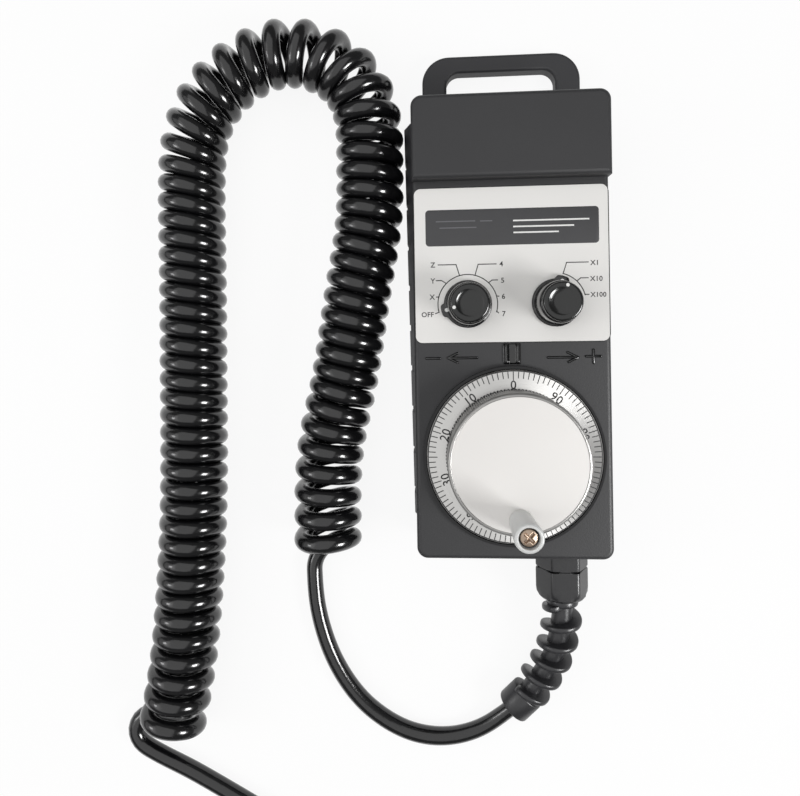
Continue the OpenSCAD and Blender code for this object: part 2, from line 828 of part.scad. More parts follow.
module click_ball() {
    color("#c9ccd0") translate([-(click_d / 2 + gap + ball_d / 2), wheel_y, click_z + click_t / 2])
        sphere(d = ball_d);
}

// Leaf spring that presses the ball, standing on the drum's wall
module click_spring() {
    x = -(click_d / 2 + gap + ball_d);
    color("#a7a9ad") translate([0, wheel_y, 0]) {
        translate([x - 0.4, -5, click_z - 0.5]) cube([0.4, 10, click_t + 1]);
        translate([-drum_in_d / 2 + 0.4, -1.5, click_z]) cube([drum_in_d / 2 + x - 0.8, 3, click_t]);
    }
}

// Handwheel

// Graduated dial: flat ring with a bevelled outer edge
module dial() {
    r = dial_d / 2;
    color("#c9cacc") translate([0, wheel_y, dial_z]) difference() {
        rotate_extrude() polygon([[0, 0], [r, 0], [r, dial_t - 0.9 * dial_bevel],
            [r - dial_bevel, dial_t], [0, dial_t]]);
        translate([0, 0, -cut]) cylinder(d = shaft_d + 2 * fit, h = dial_t + 2 * cut);
    }
}

// Turned hand disc: cup with a hub, and a boss for the crank screw
module hand_disc() {
    r = disc_d / 2;
    h = disc_top - disc_under;
    e = disc_edge;
    color("#d4d4d4") translate([0, wheel_y, disc_under]) difference() {
        rotate_extrude() rounded_edge(r, h, e);
        difference() {
            translate([0, 0, -cut]) cylinder(r = r - disc_wall, h = h - disc_roof + cut);
            cylinder(d = hub_d, h = h);
            translate([0, -crank_r, 0]) cylinder(d = crank_screw_d + 6, h = h);
        }
        translate([0, 0, -cut]) cylinder(d = shaft_d + 2 * fit, h = h);
        translate([0, 0, shaft_nut_z - disc_under]) cylinder(d = shaft_nut_d + 2 * gap, h = h);
        translate([0, 0, h - face_t]) cylinder(d = face_d + 2 * fit, h = face_t + cut);
        translate([0, -crank_r, -cut]) cylinder(d = crank_screw_d + 2 * fit, h = h + 2 * cut);
    }
}

module disc_face() {
    color("#dededd") translate([0, wheel_y, disc_top - face_t]) difference() {
        cylinder(d = face_d, h = face_t);
        translate([0, -crank_r, -cut]) cylinder(d = crank_screw_d + 2 * fit, h = face_t + 2 * cut);
    }
}

module wheel_shaft() {
    low = rear_bearing_z + gap;
    shoulder = rear_bearing_z + rear_bearing_w + 0.1;
    top = disc_top - face_t - 0.4;
    color("#bcbec2") translate([0, wheel_y, 0]) {
        translate([0, 0, low]) cylinder(d = shaft_end_d, h = shoulder - low + skin);
        translate([0, 0, shoulder]) cylinder(d = shaft_d, h = top - shoulder);
    }
}

module shaft_nut() {
    color("#a9abaf") translate([0, wheel_y, shaft_nut_z]) difference() {
        hexagon(shaft_nut_d, shaft_nut_h);
        translate([0, 0, -cut]) cylinder(d = shaft_d + 2 * fit, h = shaft_nut_h + 2 * cut);
    }
}

// Slotted code wheel on a small hub
module code_wheel() {
    r = code_d / 2;
    color("#8d9094") translate([0, wheel_y, code_z]) difference() {
        union() {
            cylinder(r = r, h = code_t);
            cylinder(d = shaft_d + 5, h = click_z - code_z);
        }
        translate([0, 0, -cut]) cylinder(d = shaft_d + 2 * fit, h = click_z - code_z + 2 * cut);
        for (i = [0 : code_slots - 1]) rotate(i * 360 / code_slots)
            translate([r - 3.4, -0.9, -cut]) cube([2.2, 1.8, code_t + 2 * cut]);
    }
}

module click_wheel() {
    color("#a88d4a") translate([0, wheel_y, click_z]) difference() {
        linear_extrude(click_t) click_wheel_plan();
        translate([0, 0, -cut]) cylinder(d = shaft_d + 2 * fit, h = click_t + 2 * cut);
    }
}

// Crank handle

module crank_screw() {
    low = disc_under + 1;
    seat = crank_top - recess_h;
    color("#b9a58e") translate([0, crank_y, 0]) difference() {
        union() {
            translate([0, 0, low]) cylinder(d = crank_screw_d, h = seat + gap - low + skin);
            translate([0, 0, seat + gap]) cylinder(d = crank_head_d, h = crank_head_h);
            translate([0, 0, seat + gap + crank_head_h])
                cylinder(d1 = crank_head_d, d2 = crank_head_d - 2.4, h = crank_dome_h);
        }
        for (a = [45, 135]) translate([0, 0, seat + gap + 0.9]) rotate(a)
            translate([-2, -0.45, 0]) cube([4, 0.9, 2]);
    }
}

// Tapered sleeve with a rounded shoulder and a recess for the screw head
module crank_handle() {
    rt = crank_top_d / 2;
    rf = crank_foot_d / 2;
    e = 1.4;
    color("#dcdcda") translate([0, crank_y, crank_z]) difference() {
        rotate_extrude() polygon(concat(
            [[0, 0], [rf - 0.6, 0], [rf, 0.6], [rf, 3], [rt, crank_l - 4]],
            [for (a = [0 : 15 : 90]) [rt - e + e * cos(a), crank_l - e + e * sin(a)]],
            [[0, crank_l]]));
        translate([0, 0, -cut]) cylinder(d = crank_screw_d + 2 * fit, h = crank_l);
        translate([0, 0, crank_l - recess_h]) cylinder(d = recess_d, h = recess_h + cut);
    }
}

// Cable gland. Its modules are drawn along -Y from the case's lower end.

module gland_frame(y) {
    translate([gland_x, y, gland_h]) rotate([90, 0, 0]) children();
}

module gland_body() {
    color("#2a2a2d") gland_frame(low_y) difference() {
        union() {
            hexagon(hex_d, gland_hex_l);
            translate([0, 0, -wall - locknut_h - 2])
                cylinder(d = gland_thread_d, h = wall + locknut_h + 2 + skin);
            cylinder(d = spigot_d, h = gland_hex_l + spigot_l);
        }
        translate([0, 0, -wall - locknut_h - 2 - cut])
            cylinder(d = gland_bore_d, h = gland_hex_l + wall + locknut_h + spigot_l + 2 + 2 * cut);
    }
}

module gland_locknut() {
    color("#313135") gland_frame(low_y + wall + locknut_h) difference() {
        hexagon(hex_d, locknut_h);
        translate([0, 0, -cut]) cylinder(d = gland_thread_d + 2 * fit, h = locknut_h + 2 * cut);
    }
}

module gland_seal() {
    l = spigot_l + 5;
    color("#1b1b1b") gland_frame(gland_end + 4) difference() {
        cylinder(d = gland_bore_d - 2 * fit, h = l);
        translate([0, 0, -cut]) cylinder(d = spiral_bore_d, h = l + 2 * cut);
    }
}

// Hexagon nut with a tapered end
module gland_nut() {
    hex_l = gland_nut_l * 0.55;
    end_d = spiral_d - 0.5;
    color("#2a2a2d") gland_frame(gland_end) difference() {
        intersection() {
            hexagon(hex_d, gland_nut_l);
            union() {
                cylinder(d = hex_d + 1, h = hex_l);
                translate([0, 0, hex_l - skin])
                    cylinder(d1 = hex_d + 1, d2 = end_d, h = gland_nut_l - hex_l + skin);
            }
        }
        translate([0, 0, -cut]) cylinder(d = spigot_d + 2 * fit, h = spigot_l + cut + 0.5);
        translate([0, 0, spigot_l]) cylinder(d = gland_bore_d, h = 2);
        translate([0, 0, spigot_l + cut]) cylinder(d = spiral_bore_d, h = gland_nut_l);
    }
}

// Bend protector: an open spiral fin wound round the lead, between a foot ring
// that stands on the nut and a collar at the free end

function fin_frame(s) =
    let (f = fin_first + s * (fin_last - fin_first))
    let (i = floor(f), u = f - floor(f))
    let (j = min(i + 1, len(fin_path) - 1))
    let (t = unit(direction(fin_path, i) * (1 - u) + direction(fin_path, j) * u))
    let (side = unit(cross(t, [0, 0, 1])))
    [fin_path[i] * (1 - u) + fin_path[j] * u, t, side, cross(side, t)];

module spiral_fin(steps) {
    inner = spiral_bore_d / 2 + 0.4;
    outer = spiral_d / 2;
    profile = [[inner, -fin_t / 2 - 0.3], [outer - 0.4, -fin_t / 2 + 0.4], [outer, 0],
        [outer - 0.4, fin_t / 2 - 0.4], [inner, fin_t / 2 + 0.3]];
    n = len(profile);
    points = [for (k = [0 : steps], q = profile)
        let (s = k / steps)
        let (f = fin_frame(s), a = -360 * spiral_turns * s + 90)
        f[0] + q[0] * (f[2] * cos(a) + f[3] * sin(a)) + q[1] * f[1]];
    walls = [for (k = [0 : steps - 1], q = [0 : n - 1], half = [0, 1])
        let (p = (q + 1) % n)
        half == 0 ? [k * n + q, k * n + p, (k + 1) * n + p]
            : [k * n + q, (k + 1) * n + p, (k + 1) * n + q]];
    first = [[for (q = [n - 1 : -1 : 0]) q]];
    last = [[for (q = [0 : n - 1]) steps * n + q]];
    polyhedron(points, concat(walls, first, last));
}

// Ring of length h that starts at the point p and runs along the direction t
module ring_along(p, t, outer, inner, h) {
    translate(p) rotate([0, acos(t[2]), atan2(t[1], t[0])]) difference() {
        cylinder(d = outer, h = h);
        translate([0, 0, -cut]) cylinder(d = inner, h = h + 2 * cut);
    }
}

module bend_protector() {
    start = fin_path[collar_first];
    along = unit(fin_path[collar_last] - start);
    color("#2b2b2e") {
        spiral_fin(84);
        gland_frame(nut_end) difference() {
            cylinder(d = spiral_foot_d, h = spiral_foot_l);
            translate([0, 0, -cut]) cylinder(d = spiral_bore_d, h = spiral_foot_l + 2 * cut);
        }
        ring_along(start, along, collar_d, spiral_bore_d + 0.6, collar_l);
    }
}

// Cord

module cord_lead() {
    color("#111214") tube(smooth_route(lead_route, 2), cord_d / 2, 10);
}

module cord_curl() {
    path = [for (p = curl_route) [p[0], p[1], curl_d / 2 + fit]];
    color("#111214") tube(path, curl_d / 2, 12);
}

module cord_tail() {
    color("#111214") tube(tail_route, jacket_d / 2, 10);
}

module cord_coil() {
    color("#111214") translate([coil_centre[0], coil_centre[1], coil_lift]) rotate_extrude()
        translate([coil_r, jacket_d / 2]) {
            circle(d = jacket_d);
            translate([-jacket_d / 2, 0]) square([jacket_d, jacket_d]);
            translate([0, jacket_d]) circle(d = jacket_d);
        }
}

module cord_end() {
    color("#111214") tube(end_route, jacket_d / 2, 10);
}

module cord_tie() {
    color("#1a1a1a") translate([coil_centre[0] + coil_r, coil_centre[1], 0]) difference() {
        translate([-jacket_d / 2 - tie_t - 0.6, -tie_w / 2, 0])
            cube([jacket_d + 2 * tie_t + 1.2, tie_w, 2 * jacket_d + 2 * tie_t]);
        translate([-jacket_d / 2 - 0.6, -tie_w, coil_lift])
            cube([jacket_d + 1.2, 2 * tie_w, 2 * jacket_d]);
    }
}

// Round plug at the lead's far end, drawn along -X from where the lead goes in

module plug_frame(d) {
    end = end_route[len(end_route) - 1];
    translate([end[0] - d, end[1], plug_axis]) rotate([0, -90, 0]) children();
}

module plug_body() {
    color("#b3b5b8") plug_frame(0) difference() {
        union() {
            cylinder(d1 = jacket_d + 3, d2 = plug_barrel_d, h = plug_neck_l);
            translate([0, 0, plug_neck_l - skin])
                cylinder(d = plug_barrel_d, h = plug_nose_z - plug_neck_l + skin);
            translate([0, 0, plug_nose_z - skin]) cylinder(d = plug_nose_d, h = plug_nose_l);
        }
        translate([0, 0, plug_nose_z + plug_wall]) cylinder(d = plug_nose_d - plug_wall, h = plug_nose_l);
    }
}

module plug_ring() {
    color("#9b9da0") plug_frame(plug_nose_z) difference() {
        union() {
            cylinder(d = plug_d, h = plug_nose_l - 2);
            cylinder(d = plug_d - 1.5, h = plug_nose_l + 1);
        }
        translate([0, 0, -cut]) cylinder(d = plug_nose_d + 2 * gap, h = plug_nose_l + 2 * cut + 1);
    }
}

module plug_insert() {
    disc_l = 6;
    color("#202022") plug_frame(plug_nose_z + plug_wall) {
        cylinder(d = plug_nose_d - plug_wall - 2 * fit, h = disc_l);
        for (i = [0 : plug_pins - 1]) rotate(i * 360 / plug_pins)
            translate([plug_nose_d / 4, 0, disc_l - skin]) cylinder(d = 1, h = 5);
    }
}

front_case();
rear_case();
case_seal();
case_screws();
front_plate();
index_marker();
switch_body(-switch_x);  // axis_switch_body
switch_contacts(-switch_x);  // axis_switch_contacts
switch_washer(-switch_x);  // axis_switch_washer
switch_nut(-switch_x);  // axis_switch_nut
switch_body(switch_x);  // multiplier_switch_body
switch_contacts(switch_x);  // multiplier_switch_contacts
switch_washer(switch_x);  // multiplier_switch_washer
switch_nut(switch_x);  // multiplier_switch_nut
encoder_bezel();
encoder_drum();
encoder_cover();
encoder_screws();
encoder_board();
encoder_sensor();
encoder_terminals();
front_bearing();
rear_bearing();
click_ball();
click_spring();
gland_body();
gland_locknut();
gland_seal();
gland_nut();
bend_protector();
cord_lead();
cord_curl();
cord_tail();
cord_coil();
cord_end();
cord_tie();
plug_body();
plug_ring();
plug_insert();
dial();
hand_disc();
disc_face();
wheel_shaft();
shaft_nut();
code_wheel();
click_wheel();
crank_screw();
crank_handle();
knob(-switch_x, axis_rest_a);  // axis_knob
knob_cap(-switch_x, axis_rest_a);  // axis_knob_cap
knob_dots(-switch_x, axis_rest_a);  // axis_knob_dots
spindle(-switch_x);  // axis_spindle
knob_screw(-switch_x, axis_rest_a);  // axis_knob_screw
knob(switch_x, multiplier_rest_a);  // multiplier_knob
knob_cap(switch_x, multiplier_rest_a);  // multiplier_knob_cap
knob_dots(switch_x, multiplier_rest_a);  // multiplier_knob_dots
spindle(switch_x);  // multiplier_spindle
knob_screw(switch_x, multiplier_rest_a);  // multiplier_knob_screw
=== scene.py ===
"""Hand-held pulse generator pendant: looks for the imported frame.

Lengths are worked out in millimetres in the row frame and go into the meshes in metres.
"""
import math

import bmesh
import bpy
import numpy as np
from mathutils import Matrix, Vector


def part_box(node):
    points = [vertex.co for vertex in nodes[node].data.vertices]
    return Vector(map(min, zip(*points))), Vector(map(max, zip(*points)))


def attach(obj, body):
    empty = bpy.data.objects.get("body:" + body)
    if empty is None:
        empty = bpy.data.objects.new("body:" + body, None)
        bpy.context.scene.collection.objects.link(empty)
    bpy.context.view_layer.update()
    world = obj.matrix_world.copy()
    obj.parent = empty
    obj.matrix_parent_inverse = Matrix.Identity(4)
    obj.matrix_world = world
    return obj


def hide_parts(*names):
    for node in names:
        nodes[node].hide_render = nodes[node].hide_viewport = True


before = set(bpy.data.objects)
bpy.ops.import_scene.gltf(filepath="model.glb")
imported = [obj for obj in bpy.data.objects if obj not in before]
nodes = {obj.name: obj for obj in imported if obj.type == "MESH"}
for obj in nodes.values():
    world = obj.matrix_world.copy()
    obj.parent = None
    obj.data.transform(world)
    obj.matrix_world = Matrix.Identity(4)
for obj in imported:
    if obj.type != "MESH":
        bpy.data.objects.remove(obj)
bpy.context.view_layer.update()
MM = 0.001
TAU = 2 * math.pi


# Places read from the frame, in millimetres

def node_box(node):
    """Lowest and highest corner of a node, in millimetres."""
    low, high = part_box(node)
    return np.array(low) / MM, np.array(high) / MM


def node_middle(node):
    """Middle of a node's box, in millimetres."""
    low, high = node_box(node)
    return (low + high) / 2


plate_low, plate_high = node_box("front_plate")
dial_low, dial_high = node_box("dial")
disc_low, disc_high = node_box("hand_disc")
face_low, face_high = node_box("disc_face")
case_low, case_high = node_box("front_case")
deck = plate_low[2]
wheel = node_middle("dial")
crank = node_middle("crank_handle")
axis_switch = node_middle("axis_knob_cap")
multiplier_switch = node_middle("multiplier_knob_cap")


# Camera

def aim_camera():
    """Camera over the pendant, looking straight down but for a lean of a few degrees."""
    camera = bpy.data.objects.new("camera", bpy.data.cameras.new("camera"))
    bpy.context.scene.collection.objects.link(camera)
    turn = (Matrix.Rotation(-0.003, 3, "X") @ Matrix.Rotation(-0.077, 3, "Y")
            @ Matrix.Rotation(0.015, 3, "Z"))
    place = Matrix.Translation(Vector((-38.608, -14.118, 380.475)) * MM)
    camera.matrix_world = place @ turn.transposed().to_4x4()
    camera.data.sensor_width = 36
    camera.data.lens = 32.743
    camera.data.shift_x = 0.0356
    camera.data.shift_y = -0.0928
    camera.data.clip_start = 0.01
    bpy.context.scene.camera = camera


aim_camera()


# Finishes

def linear(colour):
    """An sRGB hex colour as linear red, green, blue and alpha."""
    value = np.array([int(colour[i:i + 2], 16) for i in (1, 3, 5)]) / 255
    value = np.where(value <= 0.04045, value / 12.92, ((value + 0.055) / 1.055) ** 2.4)
    return (*value.tolist(), 1.0)


def add(tree, kind, settings=None, links=None):
    """Adds one node; settings are attributes or input values, links are outputs by input."""
    node = tree.nodes.new("ShaderNode" + kind)
    for key, value in (settings or {}).items():
        if isinstance(key, str) and hasattr(node, key):
            setattr(node, key, value)
        else:
            node.inputs[key].default_value = value
    for key, output in (links or {}).items():
        tree.links.new(output, node.inputs[key])
    return node


def finish(name, colour, second, rough, metal=0.0, grain=0.6, relief=0.03, patch=9.0,
           rough_spread=0.08, where="Object", **extra):
    """A surface whose colour drifts from colour to second over patches, with a fine
    relief. grain and patch are in mm, relief is the depth of the grain in mm."""
    made = bpy.data.materials.new(name)
    made.use_nodes = True
    tree = made.node_tree
    tree.nodes.clear()
    place = add(tree, "TexCoord").outputs[where]
    fine = add(tree, "TexNoise", {"Scale": 1 / (grain * MM), "Detail": 2.0}, {"Vector": place})
    broad = add(tree, "TexNoise", {"Scale": 1 / (patch * MM), "Detail": 3.0}, {"Vector": place})
    tint = add(tree, "Mix", {"data_type": "RGBA", 6: linear(colour), 7: linear(second)},
               {0: broad.outputs["Fac"]})
    dull = add(tree, "MapRange", {3: rough - rough_spread / 2, 4: rough + rough_spread / 2},
               {0: fine.outputs["Fac"]})
    bump = add(tree, "Bump", {"Strength": 1.0, "Distance": relief * MM},
               {"Height": fine.outputs["Fac"]})
    values = {"Metallic": metal}
    values.update({key.replace("_", " "): value for key, value in extra.items()})
    shader = add(tree, "BsdfPrincipled", values,
                 {"Base Color": tint.outputs[2], "Roughness": dull.outputs[0],
                  "Normal": bump.outputs["Normal"]})
    add(tree, "OutputMaterial", links={"Surface": shader.outputs[0]})
    return made


# Spark-textured black ABS: dull, with a grain that breaks up the edge lights
case_abs = finish("spark_textured_abs", "#262628", "#2d2d2f", 0.5, grain=0.55, relief=0.05,
                  patch=30, IOR=1.5)
# The same ABS inside and on the back, a shade duller
rear_abs = finish("spark_textured_abs_rear", "#262629", "#2d2d30", 0.55, grain=0.55,
                  relief=0.05, patch=30, IOR=1.5)
# Moulded soft PVC and NBR: dark, dull, slightly oily. Also the dark pieces that paint shade at
# the plate's edge, in the grip grooves and in the crank's recess
rubber = finish("moulded_nitrile_rubber", "#1c1c1d", "#242425", 0.68, grain=0.4, relief=0.02)
# Glass-filled nylon of the gland: satin, with flow marks
nylon = finish("glass_filled_nylon", "#1d1d1f", "#29292b", 0.34, grain=0.7, relief=0.03,
               patch=5, IOR=1.53)
# Bend protector of soft nylon: satin, its fin edges catch the light
soft_nylon = finish("soft_moulded_nylon", "#222224", "#313134", 0.36, grain=0.9, relief=0.02,
                    patch=4, IOR=1.53)
# Extruded polyurethane sheath: glossy, nearly black, faintly wavy from the extruder
sheath = finish("extruded_polyurethane", "#0b0b0c", "#131315", 0.2, grain=3.0, relief=0.09,
                patch=12, rough_spread=0.06, IOR=1.5, Coat_Weight=0.35, Coat_Roughness=0.06)
# Silver powder paint on the front plate: satin, very fine sparkle
plate_paint = finish("satin_silver_paint", "#e9e8e5", "#eceae7", 0.42, grain=0.35,
                     relief=0.012, patch=22, IOR=1.5)
# Screen-printed inks: flat, a little raised
dark_ink = finish("dark_grey_screen_ink", "#38383a", "#3e3e40", 0.5, grain=0.5, relief=0.02,
                  patch=7)
line_ink = finish("black_screen_ink", "#1b1b1c", "#252527", 0.5, grain=0.3, relief=0.01,
                  patch=4)
white_ink = finish("white_screen_ink", "#f0f0ee", "#e4e4e2", 0.5, grain=0.3, relief=0.01,
                   patch=4)
grey_ink = finish("grey_screen_ink", "#66666a", "#5c5c5f", 0.5, grain=0.3, relief=0.01,
                  patch=4)
# Gloss black ABS of knobs and marks: mirror-like with soft moulding waves
gloss_abs = finish("gloss_black_abs", "#0b0b0c", "#121213", 0.1, grain=5.0, relief=0.012,
                   patch=8, rough_spread=0.04, IOR=1.53, Coat_Weight=0.3, Coat_Roughness=0.04)
cap_abs = finish("gloss_black_cap", "#101111", "#181918", 0.2, grain=4.0, relief=0.012,
                 patch=6, rough_spread=0.05, IOR=1.53)
# White filler paint in the pointer dots
dot_paint = finish("white_filler_paint", "#f1f1ef", "#e6e6e4", 0.4, grain=0.3, relief=0.02,
                   patch=2)
# Satin-anodised aluminium: face plate and rounded rim of the hand disc
face_paint = finish("matt_anodised_aluminium", "#e3e0dd", "#e6e4e1", 0.55, metal=0.15,
                    grain=0.4, relief=0.008, patch=26)
rim_metal = finish("polished_anodised_rim", "#a3a2a0", "#9a9997", 0.36, metal=0.8, grain=0.5,
                   relief=0.004, patch=14)
# Crank of cast zinc with a pale lacquer
crank_paint = finish("pale_lacquered_zinc", "#cfd0cf", "#d6d7d5", 0.42, metal=0.1, grain=0.6,
                     relief=0.01, patch=8)
# Nickel-plated steel with a warm cast; darker in the recess
screw_steel = finish("nickel_plated_steel", "#b8a595", "#93816f", 0.4, metal=0.9, grain=0.5,
                     relief=0.02, patch=1.5)
# Black-oxide steel; also the dark band that paints the shade in the knurl at the disc's foot
dark_screw = finish("black_oxide_steel", "#3a3a3c", "#2c2c2e", 0.4, metal=0.8, grain=0.4,
                    relief=0.01, patch=2)
steel = finish("ground_steel", "#b9babc", "#a6a7aa", 0.32, metal=1.0, grain=0.4, relief=0.006,
               patch=5)
brass = finish("tinned_brass", "#c8a35a", "#b08a45", 0.33, metal=1.0, grain=0.4, relief=0.01,
               patch=3)
turned_alloy = finish("turned_aluminium_alloy", "#c9cacb", "#b9babb", 0.35, metal=1.0,
                      grain=0.5, relief=0.006, patch=9)
board = finish("glass_epoxy_board", "#1f5a35", "#2a6b40", 0.4, grain=0.5, relief=0.01, patch=4)
phenolic = finish("moulded_phenolic", "#1b1b1d", "#242426", 0.45, grain=0.6, relief=0.02,
                  patch=6)
diallyl = finish("blue_diallyl_phthalate", "#27407a", "#1e3366", 0.42, grain=0.5,
                 relief=0.015, patch=6)
rim_black = finish("black_anodised_rim", "#111113", "#1a1a1c", 0.3, metal=0.3, grain=0.5,
                   relief=0.008, patch=7)
plug_alloy = finish("satin_nickel_plate", "#b4b5b6", "#a3a4a6", 0.28, metal=1.0, grain=0.5,
                    relief=0.008, patch=6)
code_steel = finish("etched_spring_steel", "#9da0a5", "#8a8d93", 0.25, metal=1.0, grain=0.3,
                    relief=0.004, patch=4)


def turned_finish():
    """Face-turned aluminium: rings of tool marks, so lights stretch into sectors."""
    made = bpy.data.materials.new("face_turned_aluminium")
    made.use_nodes = True
    tree = made.node_tree
    tree.nodes.clear()
    place = add(tree, "UVMap", {"uv_map": "turning"}).outputs[0]
    rings = add(tree, "Mapping", {"Scale": (6.0, 700.0, 1.0)}, {"Vector": place})
    mark = add(tree, "TexNoise", {"Scale": 1.0, "Detail": 2.0}, {"Vector": rings.outputs[0]})
    tint = add(tree, "Mix", {"data_type": "RGBA", 6: linear("#cccbc9"), 7: linear("#bdbcba")},
               {0: mark.outputs["Fac"]})
    dull = add(tree, "MapRange", {3: 0.24, 4: 0.36}, {0: mark.outputs["Fac"]})
    bump = add(tree, "Bump", {"Strength": 0.5, "Distance": 0.004 * MM},
               {"Height": mark.outputs["Fac"]})
    along = add(tree, "Tangent", {"direction_type": "UV_MAP", "uv_map": "turning"})
    shader = add(tree, "BsdfPrincipled", {"Metallic": 1.0, "Anisotropic": 0.75},
                 {"Base Color": tint.outputs[2], "Roughness": dull.outputs[0],
                  "Normal": bump.outputs["Normal"], "Tangent": along.outputs[0]})
    add(tree, "OutputMaterial", links={"Surface": shader.outputs[0]})
    return made


dial_metal = turned_finish()


# Surfaces

def make_piece(name, points, faces, body, coat, slot, sharp=40.0, uv=None):
    """Mesh of points in millimetres and faces, given a finish and set on its body."""
    mesh = bpy.data.meshes.new(name)
    mesh.from_pydata((np.asarray(points, float).reshape(-1, 3) * MM).tolist(), [], faces)
    if uv is not None:
        layer = mesh.uv_layers.new(name="turning")
        corner = np.zeros(len(mesh.loops), np.int32)
        mesh.loops.foreach_get("vertex_index", corner)
        layer.data.foreach_set("uv", uv.reshape(-1, 2)[corner].astype(np.float32).ravel())
    work = bmesh.new()
    work.from_mesh(mesh)
    bmesh.ops.remove_doubles(work, verts=work.verts, dist=1e-7)
    bmesh.ops.recalc_face_normals(work, faces=work.faces)
    work.to_mesh(mesh)
    work.free()
    mesh.polygons.foreach_set("use_smooth", np.ones(len(mesh.polygons), bool))
    mesh.set_sharp_from_angle(angle=math.radians(sharp))
    mesh.materials.append(coat)
    made = bpy.data.objects.new(name, mesh)
    bpy.context.scene.collection.objects.link(made)
    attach(made, body)
    return made


def grid_faces(rows, columns, wrap_rows=False, wrap_columns=True):
    """Four-sided faces between neighbours on a grid of rows by columns."""
    i = np.arange(rows if wrap_rows else rows - 1)[:, None]
    j = np.arange(columns if wrap_columns else columns - 1)[None, :]
    k, m = (i + 1) % rows, (j + 1) % columns
    quads = np.stack([i * columns + j, i * columns + m, k * columns + m, k * columns + j], -1)
    return quads.reshape(-1, 4).tolist()


def joined(parts):
    """Points and faces of several surfaces as one."""
    points, faces, start = [], [], 0
    for part, shape in parts:
        points.append(part)
        faces += [[corner + start for corner in face] for face in shape]
        start += len(part)
    return np.concatenate(points), faces


def soften(corners, radius, steps=5):
    """Rounds a line's inner corners: each is a parabola between points radius away."""
    p = np.asarray(corners, float)
    before, here, after = p[:-2], p[1:-1], p[2:]
    back = np.linalg.norm(before - here, axis=1, keepdims=True)
    on = np.linalg.norm(after - here, axis=1, keepdims=True)
    a = here + (before - here) / back * np.minimum(radius, back * 0.45)
    b = here + (after - here) / on * np.minimum(radius, on * 0.45)
    t = np.linspace(0, 1, steps)[None, :, None]
    arcs = (1 - t) ** 2 * a[:, None] + 2 * t * (1 - t) * here[:, None] + t ** 2 * b[:, None]
    return np.vstack([p[:1], arcs.reshape(-1, 2), p[-1:]])


def turned(profile, centre, steps, swell=None):
    """Profile of (radius, height) turned about a vertical axis: (x + r cos a, y + r sin a, z).
    swell(angle, r, z) may add to the radius."""
    a = np.linspace(0, TAU, steps, endpoint=False)[None, :]
    r, z = profile[:, :1], profile[:, 1:]
    reach = r + (swell(a, r, z) if swell else 0)
    return np.stack([centre[0] + reach * np.cos(a), centre[1] + reach * np.sin(a),
                     z + 0 * a], -1)


def lathe(name, profile, centre, steps, body, coat, slot, swell=None, sharp=40.0):
    """A turned piece; a profile that starts or ends on the axis closes there."""
    points = turned(np.asarray(profile, float), centre, steps, swell)
    return make_piece(name, points, grid_faces(len(points), steps), body, coat, slot, sharp)


def slabs(outlines, low, high):
    """Points and faces of thin slabs, one for each four-cornered outline (n, 4, 2)."""
    flat = np.asarray(outlines, float)
    n = len(flat)
    points = np.concatenate([
        np.concatenate([flat, np.full((n, 4, 1), low)], -1),
        np.concatenate([flat, np.full((n, 4, 1), high)], -1)], 1).reshape(-1, 3)
    shape = np.array([[3, 2, 1, 0], [4, 5, 6, 7], [0, 1, 5, 4], [1, 2, 6, 5], [2, 3, 7, 6],
                      [3, 0, 4, 7]])
    return points, (shape[None] + 8 * np.arange(n)[:, None, None]).reshape(-1, 4).tolist()


def strokes(lines, width):
    """Outline of the strip of that width along each straight line (n, 2, 2)."""
    a, b = np.asarray(lines, float)[:, 0], np.asarray(lines, float)[:, 1]
    along = (b - a) / np.linalg.norm(b - a, axis=1, keepdims=True)
    side = np.stack([-along[:, 1], along[:, 0]], 1) * width / 2
    end = along * width / 2 * 0.9
    return np.stack([a - side - end, b - side + end, b + side + end, a + side - end], 1)


def chain(points):
    """The straight lines that join a run of points."""
    p = np.asarray(points, float)
    return np.stack([p[:-1], p[1:]], 1)


def lettering(name, words, low, high, body, coat):
    """Words as thin solid letters; each is (text, x, y, size, turn), centred on its place."""
    work = bmesh.new()
    for text, x, y, size, turn in words:
        curve = bpy.data.curves.new("letters", "FONT")
        curve.body = text
        curve.size = size * MM
        curve.align_x = "CENTER"
        curve.align_y = "CENTER"
        curve.extrude = (high - low) / 2 * MM
        curve.offset = 0.05 * MM
        curve.resolution_u = 3
        curve.space_character = 1.05
        holder = bpy.data.objects.new("letters", curve)
        bpy.context.scene.collection.objects.link(holder)
        bpy.context.view_layer.update()
        mesh = bpy.data.meshes.new_from_object(holder)
        flat = np.zeros(len(mesh.vertices) * 3, np.float32)
        mesh.vertices.foreach_get("co", flat)
        flat = flat.reshape(-1, 3)
        middle = (flat.min(0) + flat.max(0)) / 2
        mesh.transform(Matrix.Translation(Vector((x, y, (low + high) / 2)) * MM)
                       @ Matrix.Rotation(turn, 4, "Z")
                       @ Matrix.Translation(-Vector(middle.tolist())))
        work.from_mesh(mesh)
        bpy.data.objects.remove(holder)
        bpy.data.curves.remove(curve)
        bpy.data.meshes.remove(mesh)
    mesh = bpy.data.meshes.new(name)
    work.to_mesh(mesh)
    work.free()
    mesh.materials.clear()
    mesh.materials.append(coat)
    made = bpy.data.objects.new(name, mesh)
    bpy.context.scene.collection.objects.link(made)
    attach(made, body)
    return made


# Cord

